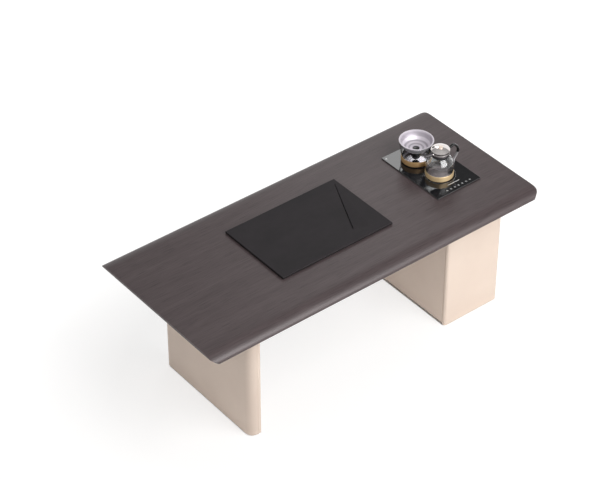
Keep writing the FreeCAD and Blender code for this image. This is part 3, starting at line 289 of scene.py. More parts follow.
studio_floor()
studio_world()
soft_box("front_box", (1.05, -3.9, 3.9), (0.4, 0.0, 0.5), (4.2, 4.6), 212.0)
soft_box("rear_card", (2.731, 2.936, 3.4), (0.784, -0.021, 0.75), (1.06, 1.2), 14.6)
soft_box("front_window", (0.42, -4.08, 3.5), (0.7, 0.0, 0.76), (4.4, 4.3), 230.0, True)


# The table top is one dark smoked-oak slab.  Both long edges roll over to a
# small nose.  The ends are thin lips, undercut deeply at the left, and the
# corners are round, larger at the right.

round_smooth = 38.0


def grid_faces(rows, columns, wrap_rows=False, wrap_columns=False, start=0):
    """Faces of a grid, row i to i + 1 and column j to j + 1, wrapped where asked."""
    i, j = np.meshgrid(np.arange(rows if wrap_rows else rows - 1),
                       np.arange(columns if wrap_columns else columns - 1), indexing="ij")
    next_i = (i + 1) % rows
    next_j = (j + 1) % columns
    quads = np.stack([i * columns + j, i * columns + next_j, next_i * columns + next_j,
                      next_i * columns + j], axis=-1)
    return quads.reshape(-1, 4) + start


def finish_mesh(piece, smooth_angle=round_smooth, merge=1e-5):
    """Close seams and poles, turn faces outwards and smooth all but sharp edges."""
    mesh = piece.data
    work = bmesh.new()
    work.from_mesh(mesh)
    bmesh.ops.remove_doubles(work, verts=work.verts, dist=merge)
    bmesh.ops.dissolve_degenerate(work, dist=merge / 2, edges=work.edges)
    bmesh.ops.recalc_face_normals(work, faces=work.faces)
    limit = math.radians(smooth_angle)
    for edge in work.edges:
        edge.smooth = len(edge.link_faces) == 2 and edge.calc_face_angle(0.0) < limit
    for face in work.faces:
        face.smooth = True
    work.to_mesh(mesh)
    work.free()
    return piece


def eased(piece, width):
    """A two-step bevel on all edges sharper than 30 degrees."""
    bevel = piece.modifiers.new("eased_edges", "BEVEL")
    bevel.width = width
    bevel.segments = 2
    bevel.limit_method = "ANGLE"
    bevel.angle_limit = math.radians(30.0)
    bevel.harden_normals = True
    return piece


def seat(piece, body, slot, finish, *nodes):
    """Put a made piece on its body with its finish, for the nodes it shows. The slot is not used.
    """
    piece.data.materials.clear()
    piece.data.materials.append(finish.material)
    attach(piece, body)
    if nodes:
        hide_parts(*nodes)


top_low, top_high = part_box("table_top")
top_roll = 0.078
top_nose = 0.006
top_lip = 0.012
top_undercut = 0.030
top_right_undercut = 0.008
top_corner = 0.046
top_left_corner = 0.024
top_ease = 0.0012
left_bend = 0.2
right_bend = 0.12
flat_reach = 0.35
glass_low, glass_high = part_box("stove_glass")
stove_rim = 0.012
stove_hole = ((glass_low.x + stove_rim, glass_high.x - stove_rim),
              (glass_low.y + stove_rim, glass_high.y - stove_rim))


def rounding(y, radius):
    """0 up to the radius from a long edge, then 1 - sqrt(1 - into^2), which is 1 at the edge."""
    into = np.clip((np.abs(y) - (top_high.y - radius)) / radius, 0.0, 1.0)
    return 1.0 - np.sqrt(1.0 - into ** 2)


def hole_stations(free, low, high):
    """Sorted places with each edge of the hole twice, and which of them lie inside it."""
    places = [(value, low < value < high) for value in free
              if min(abs(value - low), abs(value - high)) > 1e-4]
    places += [(low, False), (low + 1e-9, True), (high - 1e-9, True), (high, False)]
    return [np.array(column) for column in zip(*sorted(places))]


def slab_sheet(x, y, is_top):
    """One skin of the slab, as heights over stations that ends and corners bend."""
    crown = top_high.z - (top_high.z - top_low.z - top_nose) * rounding(y, top_roll)
    lip_z = top_high.z - top_lip
    depth = lip_z - top_low.z
    below = np.maximum(0.0, (lip_z - crown) / depth)
    near_left = np.clip((top_low.x + left_bend - x) / left_bend, 0.0, 1.0)[:, None]
    near_right = np.clip((x - (top_high.x - right_bend)) / right_bend, 0.0, 1.0)[:, None]
    left_end = top_low.x + top_left_corner * rounding(y, top_left_corner)
    right_end = top_high.x - top_corner * rounding(y, top_corner)
    bent = x[:, None] + near_left * (left_end - top_low.x + top_undercut * below)
    bent = bent - near_right * (top_high.x - right_end + top_right_undercut * below)
    across, height = (np.broadcast_to(row, bent.shape) for row in (y, crown))
    if not is_top:
        into = np.minimum((bent - left_end) / top_undercut, (right_end - bent) / top_right_undercut)
        nose = top_low.z + top_nose * rounding(y, top_nose)
        under = np.maximum(np.maximum(lip_z - depth * into, nose), top_low.z)
        height = np.minimum(under, crown)
    return np.stack([bent, across, height], axis=-1)


def oak_slab():
    """Two skins over the same stations, joined round the rim and at the stove's hole."""
    rounds = ((top_roll, 19), (top_nose, 5), (top_corner, 15), (top_left_corner, 15))
    outer = np.unique(np.round(np.concatenate(
        [top_high.y - radius * (1.0 - np.sin(np.linspace(0.0, math.pi / 2, steps)))
         for radius, steps in rounds]), 6))
    free_y = np.concatenate([-outer[::-1], np.linspace(-flat_reach, flat_reach, 15), outer])
    bevel = np.linspace(0.0, top_undercut, 5)
    middle = np.linspace(top_low.x + 2 * top_undercut, top_high.x - 2 * top_undercut, 50)
    free_x = np.concatenate([top_low.x + bevel, middle,
                             top_high.x - bevel[::-1] * top_right_undercut / top_undercut])
    x, x_in = hole_stations(free_x, *stove_hole[0])
    y, y_in = hole_stations(free_y, *stove_hole[1])
    upper = slab_sheet(x, y, True)
    lower = slab_sheet(x, y, False)
    holed = x_in[:, None] & y_in[None, :]
    upper[holed, 2] = top_low.z
    rows, columns = holed.shape
    faces = grid_faces(rows, columns)
    top_faces = faces[~holed.ravel()[faces].all(axis=1)]
    count = rows * columns
    rim = np.concatenate([np.arange(columns), np.arange(1, rows) * columns + columns - 1,
                          (rows - 1) * columns + np.arange(columns - 1)[::-1],
                          np.arange(1, rows - 1)[::-1] * columns])
    ahead = np.roll(rim, -1)
    sides = np.stack([rim, rim + count, ahead + count, ahead], axis=-1)
    slab = mesh_piece("oak_top", np.stack([upper, lower]),
                      np.concatenate([top_faces, top_faces[:, ::-1] + count, sides]))
    return finish_mesh(slab, smooth_angle=30.0)


def smoked_oak():
    """Dark grey-brown oiled oak: broad tone bands, fine dark pores, soft sheen."""
    oak = Finish("smoked_oak", Specular_IOR_Level=0.42, Coat_Roughness=0.4, Coat_Weight=0.08,
                 Coat_IOR=1.5)
    band = oak.noise(oak.place((0.9, 9.0, 9.0)), 2.2, 5.0, 0.6)
    streak = oak.noise(oak.place((3.0, 120.0, 120.0)), 1.6, 4.0, 0.6)
    pore = oak.noise(oak.place((9.0, 420.0, 420.0)), 1.0, 2.0, 0.5)
    wood = oak.ramp(0.55 * band + 0.45 * streak, [(0.30, linear(66, 54, 55)),
                                                  (0.50, linear(75, 63, 64)),
                                                  (0.70, linear(85, 73, 74))])
    pit = oak.ramp(pore, [(0.34, linear(58, 52, 53)), (0.46, (1.0, 1.0, 1.0))])
    oak.into("Base Color", oak.blend(0.45, wood, pit, "MULTIPLY"))
    oak.into("Roughness", 0.36 + 0.16 * streak)
    oak.relief(0.6 * streak + 0.4 * pore, 0.0005, 0.25)
    return oak


seat(eased(oak_slab(), top_ease), "table", "smoked_wood", smoked_oak(), "table_top")


# Two zinc-plated steel channels lie under the top, held by countersunk
# screws, with bolts and brass inserts that take both pedestals.

def paint(finish, *nodes):
    """Give construction pieces their finish."""
    for node in nodes:
        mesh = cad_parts[node].data
        mesh.materials.clear()
        mesh.materials.append(finish.material)


def mottled(name, low, high, scale, detail, dull, spread, stretch=(1.0, 1.0, 1.0), relief=None,
            **fixed):
    """Noise blends two colours, and roughness is dull plus spread times the noise."""
    finish = Finish(name, **fixed)
    speck = finish.noise(finish.place(stretch), scale, detail)
    finish.into("Base Color", finish.tones(speck, low, high))
    finish.into("Roughness", dull + spread * speck)
    if relief:
        finish.relief(speck, *relief)
    return finish


zinc = mottled("zinc_plate", (150, 152, 156), (190, 192, 196), 90.0, 3.0, 0.28, 0.2, Metallic=1.0)
brass = mottled("turned_brass", (176, 140, 78), (206, 172, 104), 60.0, 2.0, 0.25, 0.2,
                stretch=(1.0, 1.0, 30.0), Metallic=1.0)
paint(zinc, "stiffener_channels", "stiffener_screws", "fixing_bolts", "shelf_pins",
      "door_pivot_pins", "door_pivot_plates", "latch_strike", "stove_clamps")
paint(brass, "insert_nuts")


# The left pedestal is a hollow slab leg: a bent outer shell with big round
# corners and a flat panel closing its inner side, both sprayed warm beige.

board = 0.018
edge_ease = 0.0015
board_smooth = 40.0


def bent_outline(corners, steps=10):
    """A closed outline: each corner is x, y and a radius, swept as an arc."""
    corners = np.asarray(corners, float)
    before = np.roll(corners, 1, axis=0)
    after = np.roll(corners, -1, axis=0)
    share = np.linspace(0.0, 1.0, steps)[:, None]
    pieces = []
    for (x, y, radius), back, ahead in zip(corners, before, after):
        here = np.array([x, y])
        inward = back[:2] - here
        onward = ahead[:2] - here
        inward = inward / np.linalg.norm(inward)
        onward = onward / np.linalg.norm(onward)
        half = math.acos(float(np.clip(inward @ onward, -1.0, 1.0))) / 2
        halfway = (inward + onward) / np.linalg.norm(inward + onward)
        centre = here + halfway * radius / math.sin(half)
        start = here + inward * radius / math.tan(half) - centre
        end = here + onward * radius / math.tan(half) - centre
        angle = math.pi - 2 * half
        sweep = np.sin((1 - share) * angle) * start + np.sin(share * angle) * end
        pieces.append(centre + sweep / math.sin(angle))
    return np.concatenate(pieces)


def inset_outline(outline, distance, least_cosine=0.3):
    """Each corner slides inwards along its mean normal, by distance over the cosine to it."""
    ahead = np.roll(outline, -1, axis=0) - outline
    ahead = ahead / np.linalg.norm(ahead, axis=1, keepdims=True)
    back = np.roll(ahead, 1, axis=0)
    normal = np.stack([-(ahead[:, 1] + back[:, 1]), ahead[:, 0] + back[:, 0]], axis=-1)
    size = np.linalg.norm(normal, axis=1, keepdims=True)
    turn = math.copysign(1.0, np.cross(outline, np.roll(outline, -1, axis=0)).sum())
    return outline + turn * normal / size * distance / np.maximum(size / 2, least_cosine)


def capped_rings(name, rings, smooth_angle=round_smooth):
    """A closed solid from rings of points, joined in turn and capped at both ends."""
    rows, columns = rings.shape[:2]
    caps = [list(range(columns)), list(range((rows - 1) * columns, rows * columns))]
    faces = grid_faces(rows, columns, wrap_columns=True)
    return finish_mesh(mesh_piece(name, rings, faces, caps), smooth_angle)


def stacked_outline(name, outline, levels, smooth_angle):
    """The outline repeated at each level, which is an inset and a height."""
    rings = [np.column_stack([inset_outline(outline, inset), np.full(len(outline), height)])
             for inset, height in levels]
    return capped_rings(name, np.array(rings), smooth_angle)


def upright_board(name, node, corners):
    """A board cut to a plan outline, its top and bottom edges eased by an arc."""
    low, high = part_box(node)
    turn = np.linspace(0.0, math.pi / 2, 4)
    drawn = edge_ease * (1.0 - np.sin(turn))
    climb = edge_ease * (1.0 - np.cos(turn))
    levels = [*zip(drawn, low.z + climb), *zip(drawn[::-1], (high.z - climb)[::-1])]
    return stacked_outline(name, bent_outline(corners), levels, board_smooth)


def rectangle(low, high, front, back):
    """Corners round a box's plan, with one radius in front and one behind."""
    return [(low.x, low.y, front), (high.x, low.y, front), (high.x, high.y, back),
            (low.x, high.y, back)]


def bent_board(node, opens_right, corner, edge):
    """Corners of a C in plan: round at its back, concentric inside, open on one side."""
    low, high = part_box(node)
    ends, back = (high.x, low.x) if opens_right else (low.x, high.x)
    inside = back + math.copysign(board, ends - back)
    return [(ends, low.y, edge), (back, low.y, corner), (back, high.y, corner),
            (ends, high.y, edge), (ends, high.y - board, edge_ease),
            (inside, high.y - board, corner - board), (inside, low.y + board, corner - board),
            (ends, low.y + board, edge_ease)]


def beige_lacquer():
    """Warm beige sprayed lacquer: fine orange peel and a slight cloudiness."""
    coat = Finish("beige_lacquer")
    cloud = coat.noise(coat.place(), 3.0, 3.0)
    peel = coat.noise(coat.place(), 420.0, 2.0)
    coat.into("Base Color", coat.tones(cloud, (226, 207, 192), (233, 215, 200)))
    coat.into("Roughness", 0.46 + 0.1 * peel)
    coat.relief(peel, 0.0002, 0.25)
    return coat


lacquer = beige_lacquer()
leg_plan = bent_board("left_leg_shell", True, leg_corner, edge_ease)
panel_plan = rectangle(*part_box("left_leg_inner_panel"), edge_ease, edge_ease)
seat(upright_board("leg_shell", "left_leg_shell", leg_plan),
     "table", "pale_panel", lacquer, "left_leg_shell")
seat(upright_board("leg_inner_panel", "left_leg_inner_panel", panel_plan),
     "table", "pale_panel", lacquer, "left_leg_inner_panel")


# Inside both pedestals plain birch boards, beech dowels and black nylon glides
# tie the shells together and keep them off the floor.

def moulded_black(name, tone, dull):
    """Black nylon or bakelite with a fine moulded grain; dull is its least roughness."""
    return mottled(name, (tone, tone, tone + 1), (tone + 10, tone + 10, tone + 12), 600.0, 2.0,
                   dull, 0.15, relief=(0.0001, 0.2))


birch = mottled("birch_board", (196, 168, 128), (222, 198, 160), 4.0, 5.0, 0.5, 0.15,
                stretch=(25.0, 2.0, 25.0), relief=(0.0004, 0.3))
beech = mottled("beech_dowel", (190, 152, 110), (214, 180, 138), 5.0, 3.0, 0.6, 0.1,
                stretch=(60.0, 6.0, 60.0))
white_nylon = mottled("moulded_white", (214, 213, 207), (228, 227, 221), 500.0, 2.0, 0.45, 0.1)
paint(birch, "left_leg_top_board", "left_leg_base_board", "cabinet_top_board",
      "cabinet_base_board", "cabinet_shelf")
paint(beech, "left_leg_dowels", "cabinet_dowels")
paint(moulded_black("black_nylon", 24, 0.42), "left_leg_glides", "cabinet_glides",
      "cable_grommet", "latch_housing", "power_inlet")
paint(white_nylon, "door_pivot_bushes", "latch_plunger")


# The right pedestal is a cabinet.  One bent shell makes its front, outer side
# and back, and a flush door on two pivots fills its inner face.

cabinet_edge = 0.016
grommet_place = (0.7425, 0.560)
grommet_cut = 0.024
door_back_slack = 0.0002


def bore_cutter():
    """A round cutter along Y through the back wall, for the cable outlet."""
    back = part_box("cabinet_shell")[1].y
    angle = np.linspace(0.0, 2 * math.pi, 64, endpoint=False)
    rings = [np.column_stack([grommet_place[0] + grommet_cut * np.cos(angle),
                              np.full(len(angle), y),
                              grommet_place[1] + grommet_cut * np.sin(angle)])
             for y in (back - 2 * board, back + board)]
    return capped_rings("bore_cutter", np.array(rings))


def boolean(piece, other, kind):
    """Join another closed mesh to a piece, or cut it away, and keep plain mesh."""
    step = piece.modifiers.new("join", "BOOLEAN")
    step.operation = kind
    step.solver = "EXACT"
    step.object = other
    shown = piece.evaluated_get(bpy.context.evaluated_depsgraph_get())
    made = bpy.data.meshes.new_from_object(shown)
    piece.modifiers.clear()
    piece.data = made
    bpy.data.objects.remove(other)
    return piece


cabinet_plan = bent_board("cabinet_shell", False, cabinet_corner, cabinet_edge)
shell = upright_board("cabinet_body", "cabinet_shell", cabinet_plan)
seat(finish_mesh(boolean(shell, bore_cutter(), "DIFFERENCE"), board_smooth, merge=1e-6),
     "table", "pale_panel", lacquer, "cabinet_shell")
door_plan = rectangle(*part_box("cabinet_door"), edge_ease, board / 2 - door_back_slack)
seat(upright_board("flush_door", "cabinet_door", door_plan),
     "cabinet_door", "pale_panel", lacquer, "cabinet_door")


# The stove is a black ceramic-glass plate with a ground bevel, bonded over a
# painted steel tub.  Two rings, a slide bar and touch dots are printed on it.

def matt_paint(name, low, high, rough):
    """Sprayed or moulded, with a fine grain; rough is its least roughness."""
    return mottled(name, low, high, 350.0, 2.0, rough, 0.12, relief=(0.0001, 0.2))


copper = mottled("copper_winding", (168, 98, 62), (206, 140, 100), 300.0, 2.0, 0.35, 0.2,
                 Metallic=1.0)
rubber = matt_paint("black_rubber", (16, 16, 17), (26, 26, 27), 0.6)
paint(matt_paint("tub_paint", (34, 34, 36), (44, 44, 46), 0.5), "stove_case")
paint(copper, "front_coil", "back_coil")
paint(matt_paint("former_plastic", (214, 214, 206), (226, 226, 218), 0.5),
      "coil_formers", "tub_posts")
paint(matt_paint("mica_sheet", (176, 170, 156), (198, 192, 178), 0.4), "mica_discs")
paint(matt_paint("circuit_board", (18, 82, 48), (26, 98, 60), 0.4), "power_board", "touch_board")
paint(zinc, "heat_sink")
paint(matt_paint("fan_plastic", (22, 22, 24), (32, 32, 34), 0.45), "fan_frame", "fan_rotor")
paint(rubber, "stove_gasket", "tray_pads")

glass_bevel = 0.0016
glass_corner = 0.005


def bevelled_plate():
    """The glass: straight sides, then a flat ground bevel round its top edge."""
    outline = bent_outline(rectangle(glass_low, glass_high, glass_corner, glass_corner), 6)
    levels = [(0.0, glass_low.z), (0.0, glass_high.z - glass_bevel), (glass_bevel, glass_high.z)]
    return stacked_outline("stove_plate", outline, levels, smooth_angle=20.0)


def black_ceramic():
    """Polished black glass; the ground bevel round its edge is duller."""
    glass = Finish("black_ceramic_glass", IOR=1.52)
    haze = glass.noise(glass.place(), 24.0, 3.0)
    x, y = glass.axes(((glass_low + glass_high) / 2)[:2])
    reach = (glass_high - glass_low) / 2
    ground = glass.larger(abs(x) > reach.x - glass_bevel, abs(y) > reach.y - glass_bevel)
    body = glass.tones(haze, (14, 14, 16), (20, 20, 22))
    edge = glass.tones(haze, (34, 32, 33), (52, 50, 51))
    glass.into("Base Color", glass.blend(ground, body, edge))
    glass.into("Roughness", 0.03 + 0.02 * haze + 0.4 * ground)
    return glass


seat(bevelled_plate(), "table", "black_glass", black_ceramic(), "stove_glass")

mark_lift = 0.00012
ring_radius = 0.081
ring_width = 0.0008
sensor_dot = (0.0155, 0.0225, 0.0055)
touch_count = 7
touch_pitch = 0.0256
touch_first = (0.0554, 0.024)
touch_radii = (0.0042, 0.0051)
touch_dot = 0.0020
slide_bar = ((0.177, 0.0545), (0.099, 0.0580))


def axis_of(node):
    """The place of a turned piece's upright axis."""
    low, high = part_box(node)
    return (low.x + high.x) / 2, (low.y + high.y) / 2


def on_glass(x, y):
    """Points a print's thickness above the plate."""
    return np.stack([x, y, np.full_like(x, glass_high.z + mark_lift)], axis=-1)


def flat_ring(centre, inner, outer, turns):
    """A printed ring: angles by two radii, in the plane of the glass."""
    angle = np.linspace(0.0, 2 * math.pi, turns)[:, None]
    radius = np.array([inner, outer])[None, :]
    return on_glass(centre[0] + radius * np.cos(angle), centre[1] + radius * np.sin(angle))


def flat_bar(low, high):
    """A printed bar between two corners, as a grid of two by two points."""
    return on_glass(*np.meshgrid([low[0], high[0]], [low[1], high[1]], indexing="ij"))


def printed_marks(name, marks):
    """Several flat grids in one mesh."""
    starts = np.cumsum([0] + [mark.shape[0] * mark.shape[1] for mark in marks])
    faces = [grid_faces(*mark.shape[:2], start=start) for mark, start in zip(marks, starts)]
    points = np.concatenate([mark.reshape(-1, 3) for mark in marks])
    return finish_mesh(mesh_piece(name, points, np.concatenate(faces)), merge=1e-7)


def touch_marks():
    """A dot at the back left, ringed touch dots along the front, a slide bar behind them."""
    across, back, radius = sensor_dot
    marks = [flat_ring((glass_low.x + across, glass_high.y - back), 0.0, radius, 25)]
    for step in range(touch_count):
        place = (glass_high.x - touch_first[0] - touch_pitch * step, glass_low.y + touch_first[1])
        marks += [flat_ring(place, *touch_radii, 33), flat_ring(place, 0.0, touch_dot, 17)]
    ends = [(glass_high.x - across, glass_low.y + back) for across, back in slide_bar]
    return printed_marks("touch_marks", marks + [flat_bar(*ends)])


def ring_marks():
    """A thin ring over each coil."""
    return printed_marks("ring_marks", [flat_ring(axis_of(coil), ring_radius,
                                                  ring_radius + ring_width, 97)
                                        for coil in ("front_coil", "back_coil")])


for marks, ink, grey in ((touch_marks(), "white_print", 222), (ring_marks(), "grey_print", 120)):
    seat(marks, "table", "nylon_white",
         mottled(ink, (grey, grey, grey), (236, 236, 236), 900.0, 2.0, 0.35, 0.1))


# Kettle and pot stand on feet of one make: a polished steel pan, a black silicone
# seal and a tall gold band.  All are turned parts, a profile carried round.

mm = 0.001
band_low, band_high = 5.5, 35.5


def turned_piece(name, profile, centre, closed, turns=96):
    """Radius and height points in mm, carried round the upright axis through centre."""
    radius, height = mm * profile.T[:, :, None]
    angle = np.linspace(0.0, 2 * math.pi, turns, endpoint=False)[None, :]
    points = np.stack([centre[0] + radius * np.cos(angle), centre[1] + radius * np.sin(angle),
                       centre[2] + height + 0.0 * angle], axis=-1)
    faces = grid_faces(len(profile), turns, wrap_rows=closed, wrap_columns=True)
    return finish_mesh(mesh_piece(name, points, faces))


def arc(start, through, end, steps=12):
    """Points on the circle through three points, both ends included."""
    a, b, c = (np.asarray(p, float) for p in (start, through, end))
    matrix = 2 * np.array([b - a, c - a])
    right = np.array([b @ b - a @ a, c @ c - a @ a])
    centre = np.linalg.solve(matrix, right)
    angles = [math.atan2(*(p - centre)[::-1]) for p in (a, b, c)]
    sweep = (angles[2] - angles[0]) % (2 * math.pi)
    if (angles[1] - angles[0]) % (2 * math.pi) > sweep:
        sweep -= 2 * math.pi
    turn = angles[0] + np.linspace(0.0, 1.0, steps) * sweep
    radius = np.linalg.norm(a - centre)
    return centre + radius * np.column_stack([np.cos(turn), np.sin(turn)])


def profile_line(*parts):
    """Join points and runs of points into one profile."""
    return np.concatenate([np.atleast_2d(np.asarray(part, float)) for part in parts])


def foot_band_profile(band):
    """A strip 1.6 mm thick, crowned outside between two eased edges."""
    ease = 0.8
    inner, eased_edge = band - 2 * ease, band - ease
    crown = arc((band, band_low + ease), (band + ease, (band_low + band_high) / 2),
                (band, band_high - ease), 12)
    return profile_line((inner, band_low), (eased_edge, band_low), crown,
                        (eased_edge, band_high), (inner, band_high))


def foot_seal_profile(band):
    """An L of rubber: its foot under the band, its lip standing inside it."""
    inner, outer, lip, low, top = band - 7.4, band - 2.0, band - 6.2, 2.0, 9.0
    return profile_line((inner, low), arc((outer - 1.0, low), (outer - 0.2, 2.3), (outer, 3.2), 4),
                        (outer, band_low), (lip, band_low), (lip, top), (inner, top))


def foot_pan_profile(band):
    """A flat base in 2 mm sheet, turned up at its rim."""
    radius, sheet, top = band - 7.5, 2.0, 11.0
    inner = radius - sheet
    return profile_line((0.0, 0.0), arc((inner, 0.0), (radius - 0.6, 0.6), (radius, sheet), 6),
                        (radius, top), (inner, top),
                        arc((inner, 4.0), (inner - 0.6, 2.6), (inner - 2.0, sheet), 5),
                        (0.0, sheet))


def gold_plate(name, low, high, centre=None, inner=0.0):
    """Satin champagne gold, finely spun; inside the radius, on the band's hidden inner face, it
    carries painted shade.
    """
    gold = Finish(name, Metallic=0.3)
    spin = gold.noise(gold.place((1.0, 1.0, 60.0)), 30.0, 3.0)
    shade = gold.tones(spin, low, high)
    if centre:
        # Painted shade: inside the radius the band's inner face, hidden against the glass foot, is
        # painted dark brown.
        shade = gold.blend(gold.off_axis(centre) < inner, shade, (*linear(52, 42, 34), 1.0))
    gold.into("Base Color", shade)
    gold.into("Roughness", 0.24 + 0.12 * spin)
    return gold


def mirror_steel(name, dark, light, dull, metal=1.0):
    """Polished steel between two tones; dull is its least roughness."""
    return mottled(name, dark, light, 40.0, 3.0, dull, 0.06, Metallic=metal)


kettle_centre = (*axis_of("kettle_band"), glass_high.z)
pot_centre = (*axis_of("pot_band"), glass_high.z)
# Painted light: both feet are one make, but the kettle's gold is painted lighter and its pan's
# steel painted darker than the pot's, for how light falls on each.
feet = (("kettle", 74.0, kettle_centre, ((232, 198, 146), (248, 220, 174)),
         ((124, 115, 116), (142, 132, 132), 0.34, 0.7)),
        ("pot", 77.5, pot_centre, ((204, 162, 110), (224, 184, 132)),
         ((150, 146, 151), (170, 165, 170), 0.14)))
for vessel, band, centre, gold_tones, pan_finish in feet:
    gold = gold_plate(vessel + "_gold_plate", *gold_tones, centre=centre, inner=mm * (band - 1.2))
    pan_steel = mirror_steel(vessel + "_pan_steel", *pan_finish)
    seat(turned_piece(vessel + "_gold_band", foot_band_profile(band), centre, True),
         vessel, "gold_steel", gold, vessel + "_band")
    seat(turned_piece(vessel + "_seal", foot_seal_profile(band), centre, True),
         vessel, "black_rubber", rubber, vessel + "_base_seal")
    seat(turned_piece(vessel + "_pan", foot_pan_profile(band), centre, False),
         vessel, "chrome_steel", pan_steel, vessel + "_base_pan")


# The kettle is a blown glass globe with a black neck ring, a steel collar with
# a short beak, a domed lid with a vent and a gold knob, and an ear handle.

kettle_turn = math.radians(-10.0)
lid_turn = math.radians(-44.0)
collar_inner, collar_outer = 46.9, 48.5
collar_low, collar_high = 134.0, 161.0
collar_ease = 0.6
beak_wall = 1.3
beak_reach = 94.0
beak_drop = 3.5


def clear_glass():
    """Clear borosilicate glass with a very faint unevenness."""
    glass = Finish("clear_glass", Transmission_Weight=1.0, IOR=1.55, Specular_IOR_Level=1.0,
                   Roughness=0.0)
    wave = glass.noise(glass.place(), 18.0, 2.0)
    glass.into("Base Color", glass.ramp(wave, [(0.3, (0.93, 0.95, 0.95)),
                                               (0.7, (0.97, 0.98, 0.98))]))
    glass.relief(wave, 0.0004, 0.15)
    return glass


def kettle_glass_profile():
    """A straight foot in the band, a low belly, and a shoulder drawn in to the neck."""
    foot, belly, neck, wall = 72.3, 74.6, 44.5, 3.0
    belly_z, neck_z, mouth = 52.0, 125.0, 133.0
    outer = profile_line(arc((foot - 1.0, band_low), (foot - 0.3, 5.8), (foot, 6.5), 4),
                         (foot, band_high),
                         arc((foot, band_high), (73.6, 43.8), (belly, belly_z), 8)[1:],
                         arc((belly, belly_z), (67.5, 95.0), (neck, neck_z), 24)[1:],
                         (neck, mouth))
    foot, belly, neck = foot - wall, belly - wall, neck - wall
    inner = profile_line((neck, mouth),
                         arc((neck, neck_z - wall), (64.5, 92.0), (belly, belly_z), 24),
                         arc((belly, belly_z), (70.6, 43.8), (foot, band_high), 8)[1:],
                         (foot, 6.5), (foot + 1.0, band_low))
    return np.concatenate([outer, inner])


def neck_ring_profile():
    """A hook over the glass mouth, its outer lower edge rounded."""
    glass, outer, inner, mouth = 44.6, 47.0, 41.5, 133.0
    return profile_line((glass, 129.0), (glass + 0.1, 126.0),
                        arc((46.0, 126.0), (46.8, 126.3), (outer, 127.2), 4),
                        (outer, mouth + 1.0), (inner, mouth + 1.0), (inner, mouth), (glass, mouth))


def turned_about(points, centre, angle):
    """Local points turned about the upright axis and moved to the piece's centre."""
    x = points[..., 0] * math.cos(angle) - points[..., 1] * math.sin(angle)
    y = points[..., 0] * math.sin(angle) + points[..., 1] * math.cos(angle)
    return np.stack([x + centre[0], y + centre[1], points[..., 2] + centre[2]], axis=-1)


def beak_skin(shrink, start, reach):
    """Ovals from the collar to the tip; width falls with the root of the way."""
    share = np.linspace(0.0, 1.0, 14)[:, None]
    angle = np.linspace(0.0, 2 * math.pi, 48, endpoint=False)[None, :]
    across = 12.0 + (6.5 - 12.0) * np.sqrt(share) - shrink
    tall = 8.5 + (5.5 - 8.5) * share - shrink
    x = start + (reach - start) * share + 0.0 * angle
    z = (collar_low + collar_high) / 2 - beak_drop * share + tall * np.sin(angle)
    return mm * np.stack([x, across * np.cos(angle), z], axis=-1)


def turned_mesh(piece, centre, angle):
    """Turn and move a mesh made about the axis to its place on the table."""
    mesh = piece.data
    points = np.empty(len(mesh.vertices) * 3)
    mesh.vertices.foreach_get("co", points)
    placed_points = turned_about(points.reshape(-1, 3), centre, angle)
    mesh.vertices.foreach_set("co", placed_points.ravel())
    mesh.update()
    return piece


def kettle_collar_piece():
    """The collar ring with its beak, cut through by the beak's own channel."""
    edge = collar_outer - collar_ease
    ring = profile_line((collar_inner, collar_low), (edge, collar_low),
                        (collar_outer, collar_low + collar_ease),
                        (collar_outer, collar_high - collar_ease), (edge, collar_high),
                        (collar_inner, collar_high))
    body = turned_piece("steel_collar", ring, (0.0, 0.0, 0.0), True)
    channel = capped_rings("beak_channel",
                           beak_skin(beak_wall, collar_inner - 6.0, beak_reach + 4.0))
    beak = capped_rings("beak", beak_skin(0.0, collar_inner + 0.4, beak_reach))
    hollow = boolean(boolean(body, beak, "UNION"), channel, "DIFFERENCE")
    return finish_mesh(turned_mesh(hollow, kettle_centre, kettle_turn + math.pi), merge=1e-6)


def collar_steel():
    """Steel with a painted highlight band round the middle and a painted shadow under the lid's
    edge, darker below towards the neck and on the beak.
    """
    collar = Finish("collar_steel", Metallic=0.8)
    cloud = collar.noise(collar.place(), 40.0, 3.0)
    z = collar.axes(kettle_centre)[2]
    rise = (z - mm * collar_low) / (mm * (collar_high - collar_low))
    dark, painted_highlight_band, painted_shadow_gap = linear(106, 104, 108), linear(238, 234, 233), linear(64, 61, 63)
    # Painted light: the bright band stands for a highlight, the dark band at the top for the shadow
    # under the lid's edge.
    ring = collar.ramp(rise, [(0.36, dark), (0.48, painted_highlight_band), (0.74, painted_highlight_band), (0.8, painted_shadow_gap)])
    beak = collar.off_axis(kettle_centre) > mm * (collar_outer + 1.5)
    collar.into("Base Color", collar.blend(beak, ring, (*linear(70, 67, 69), 1.0)))
    collar.into("Roughness", 0.12 + 0.28 * beak + 0.06 * cloud)
    return collar


glassware = clear_glass()
seat(turned_piece("kettle_globe", kettle_glass_profile(), kettle_centre, True, 128),
     "kettle", "clear_glass", glassware, "kettle_glass")
seat(turned_piece("kettle_neck_seal", neck_ring_profile(), kettle_centre, True),
     "kettle", "black_rubber", rubber, "kettle_neck_ring")
seat(kettle_collar_piece(), "kettle", "chrome_steel", collar_steel(), "kettle_collar")

lid_top = collar_high + 2.5
dome_radius = 110.2
dome_centre = 65.3
vent_out = 38.0
knob_foot = 175.5


def kettle_lid_profile():
    """A plug in the collar, a rim on it, and a dome of one arc over another."""
    plug, rim, sheet, plug_depth = 46.4, 50.0, 1.4, 9.0
    start = (plug - sheet, collar_high - plug_depth)
    dome = arc((rim, 0.0), (25.0, 9.1), (0.0, 12.0), 20) + (0.0, lid_top)
    inner = arc((0.0, 10.6), (22.5, 7.5), (plug - sheet, -2.5), 16) + (0.0, lid_top)
    return profile_line(start, (plug, collar_high - plug_depth), (plug, collar_high),
                        (rim - 0.6, collar_high), (rim, collar_high + 0.6), dome, inner, start)


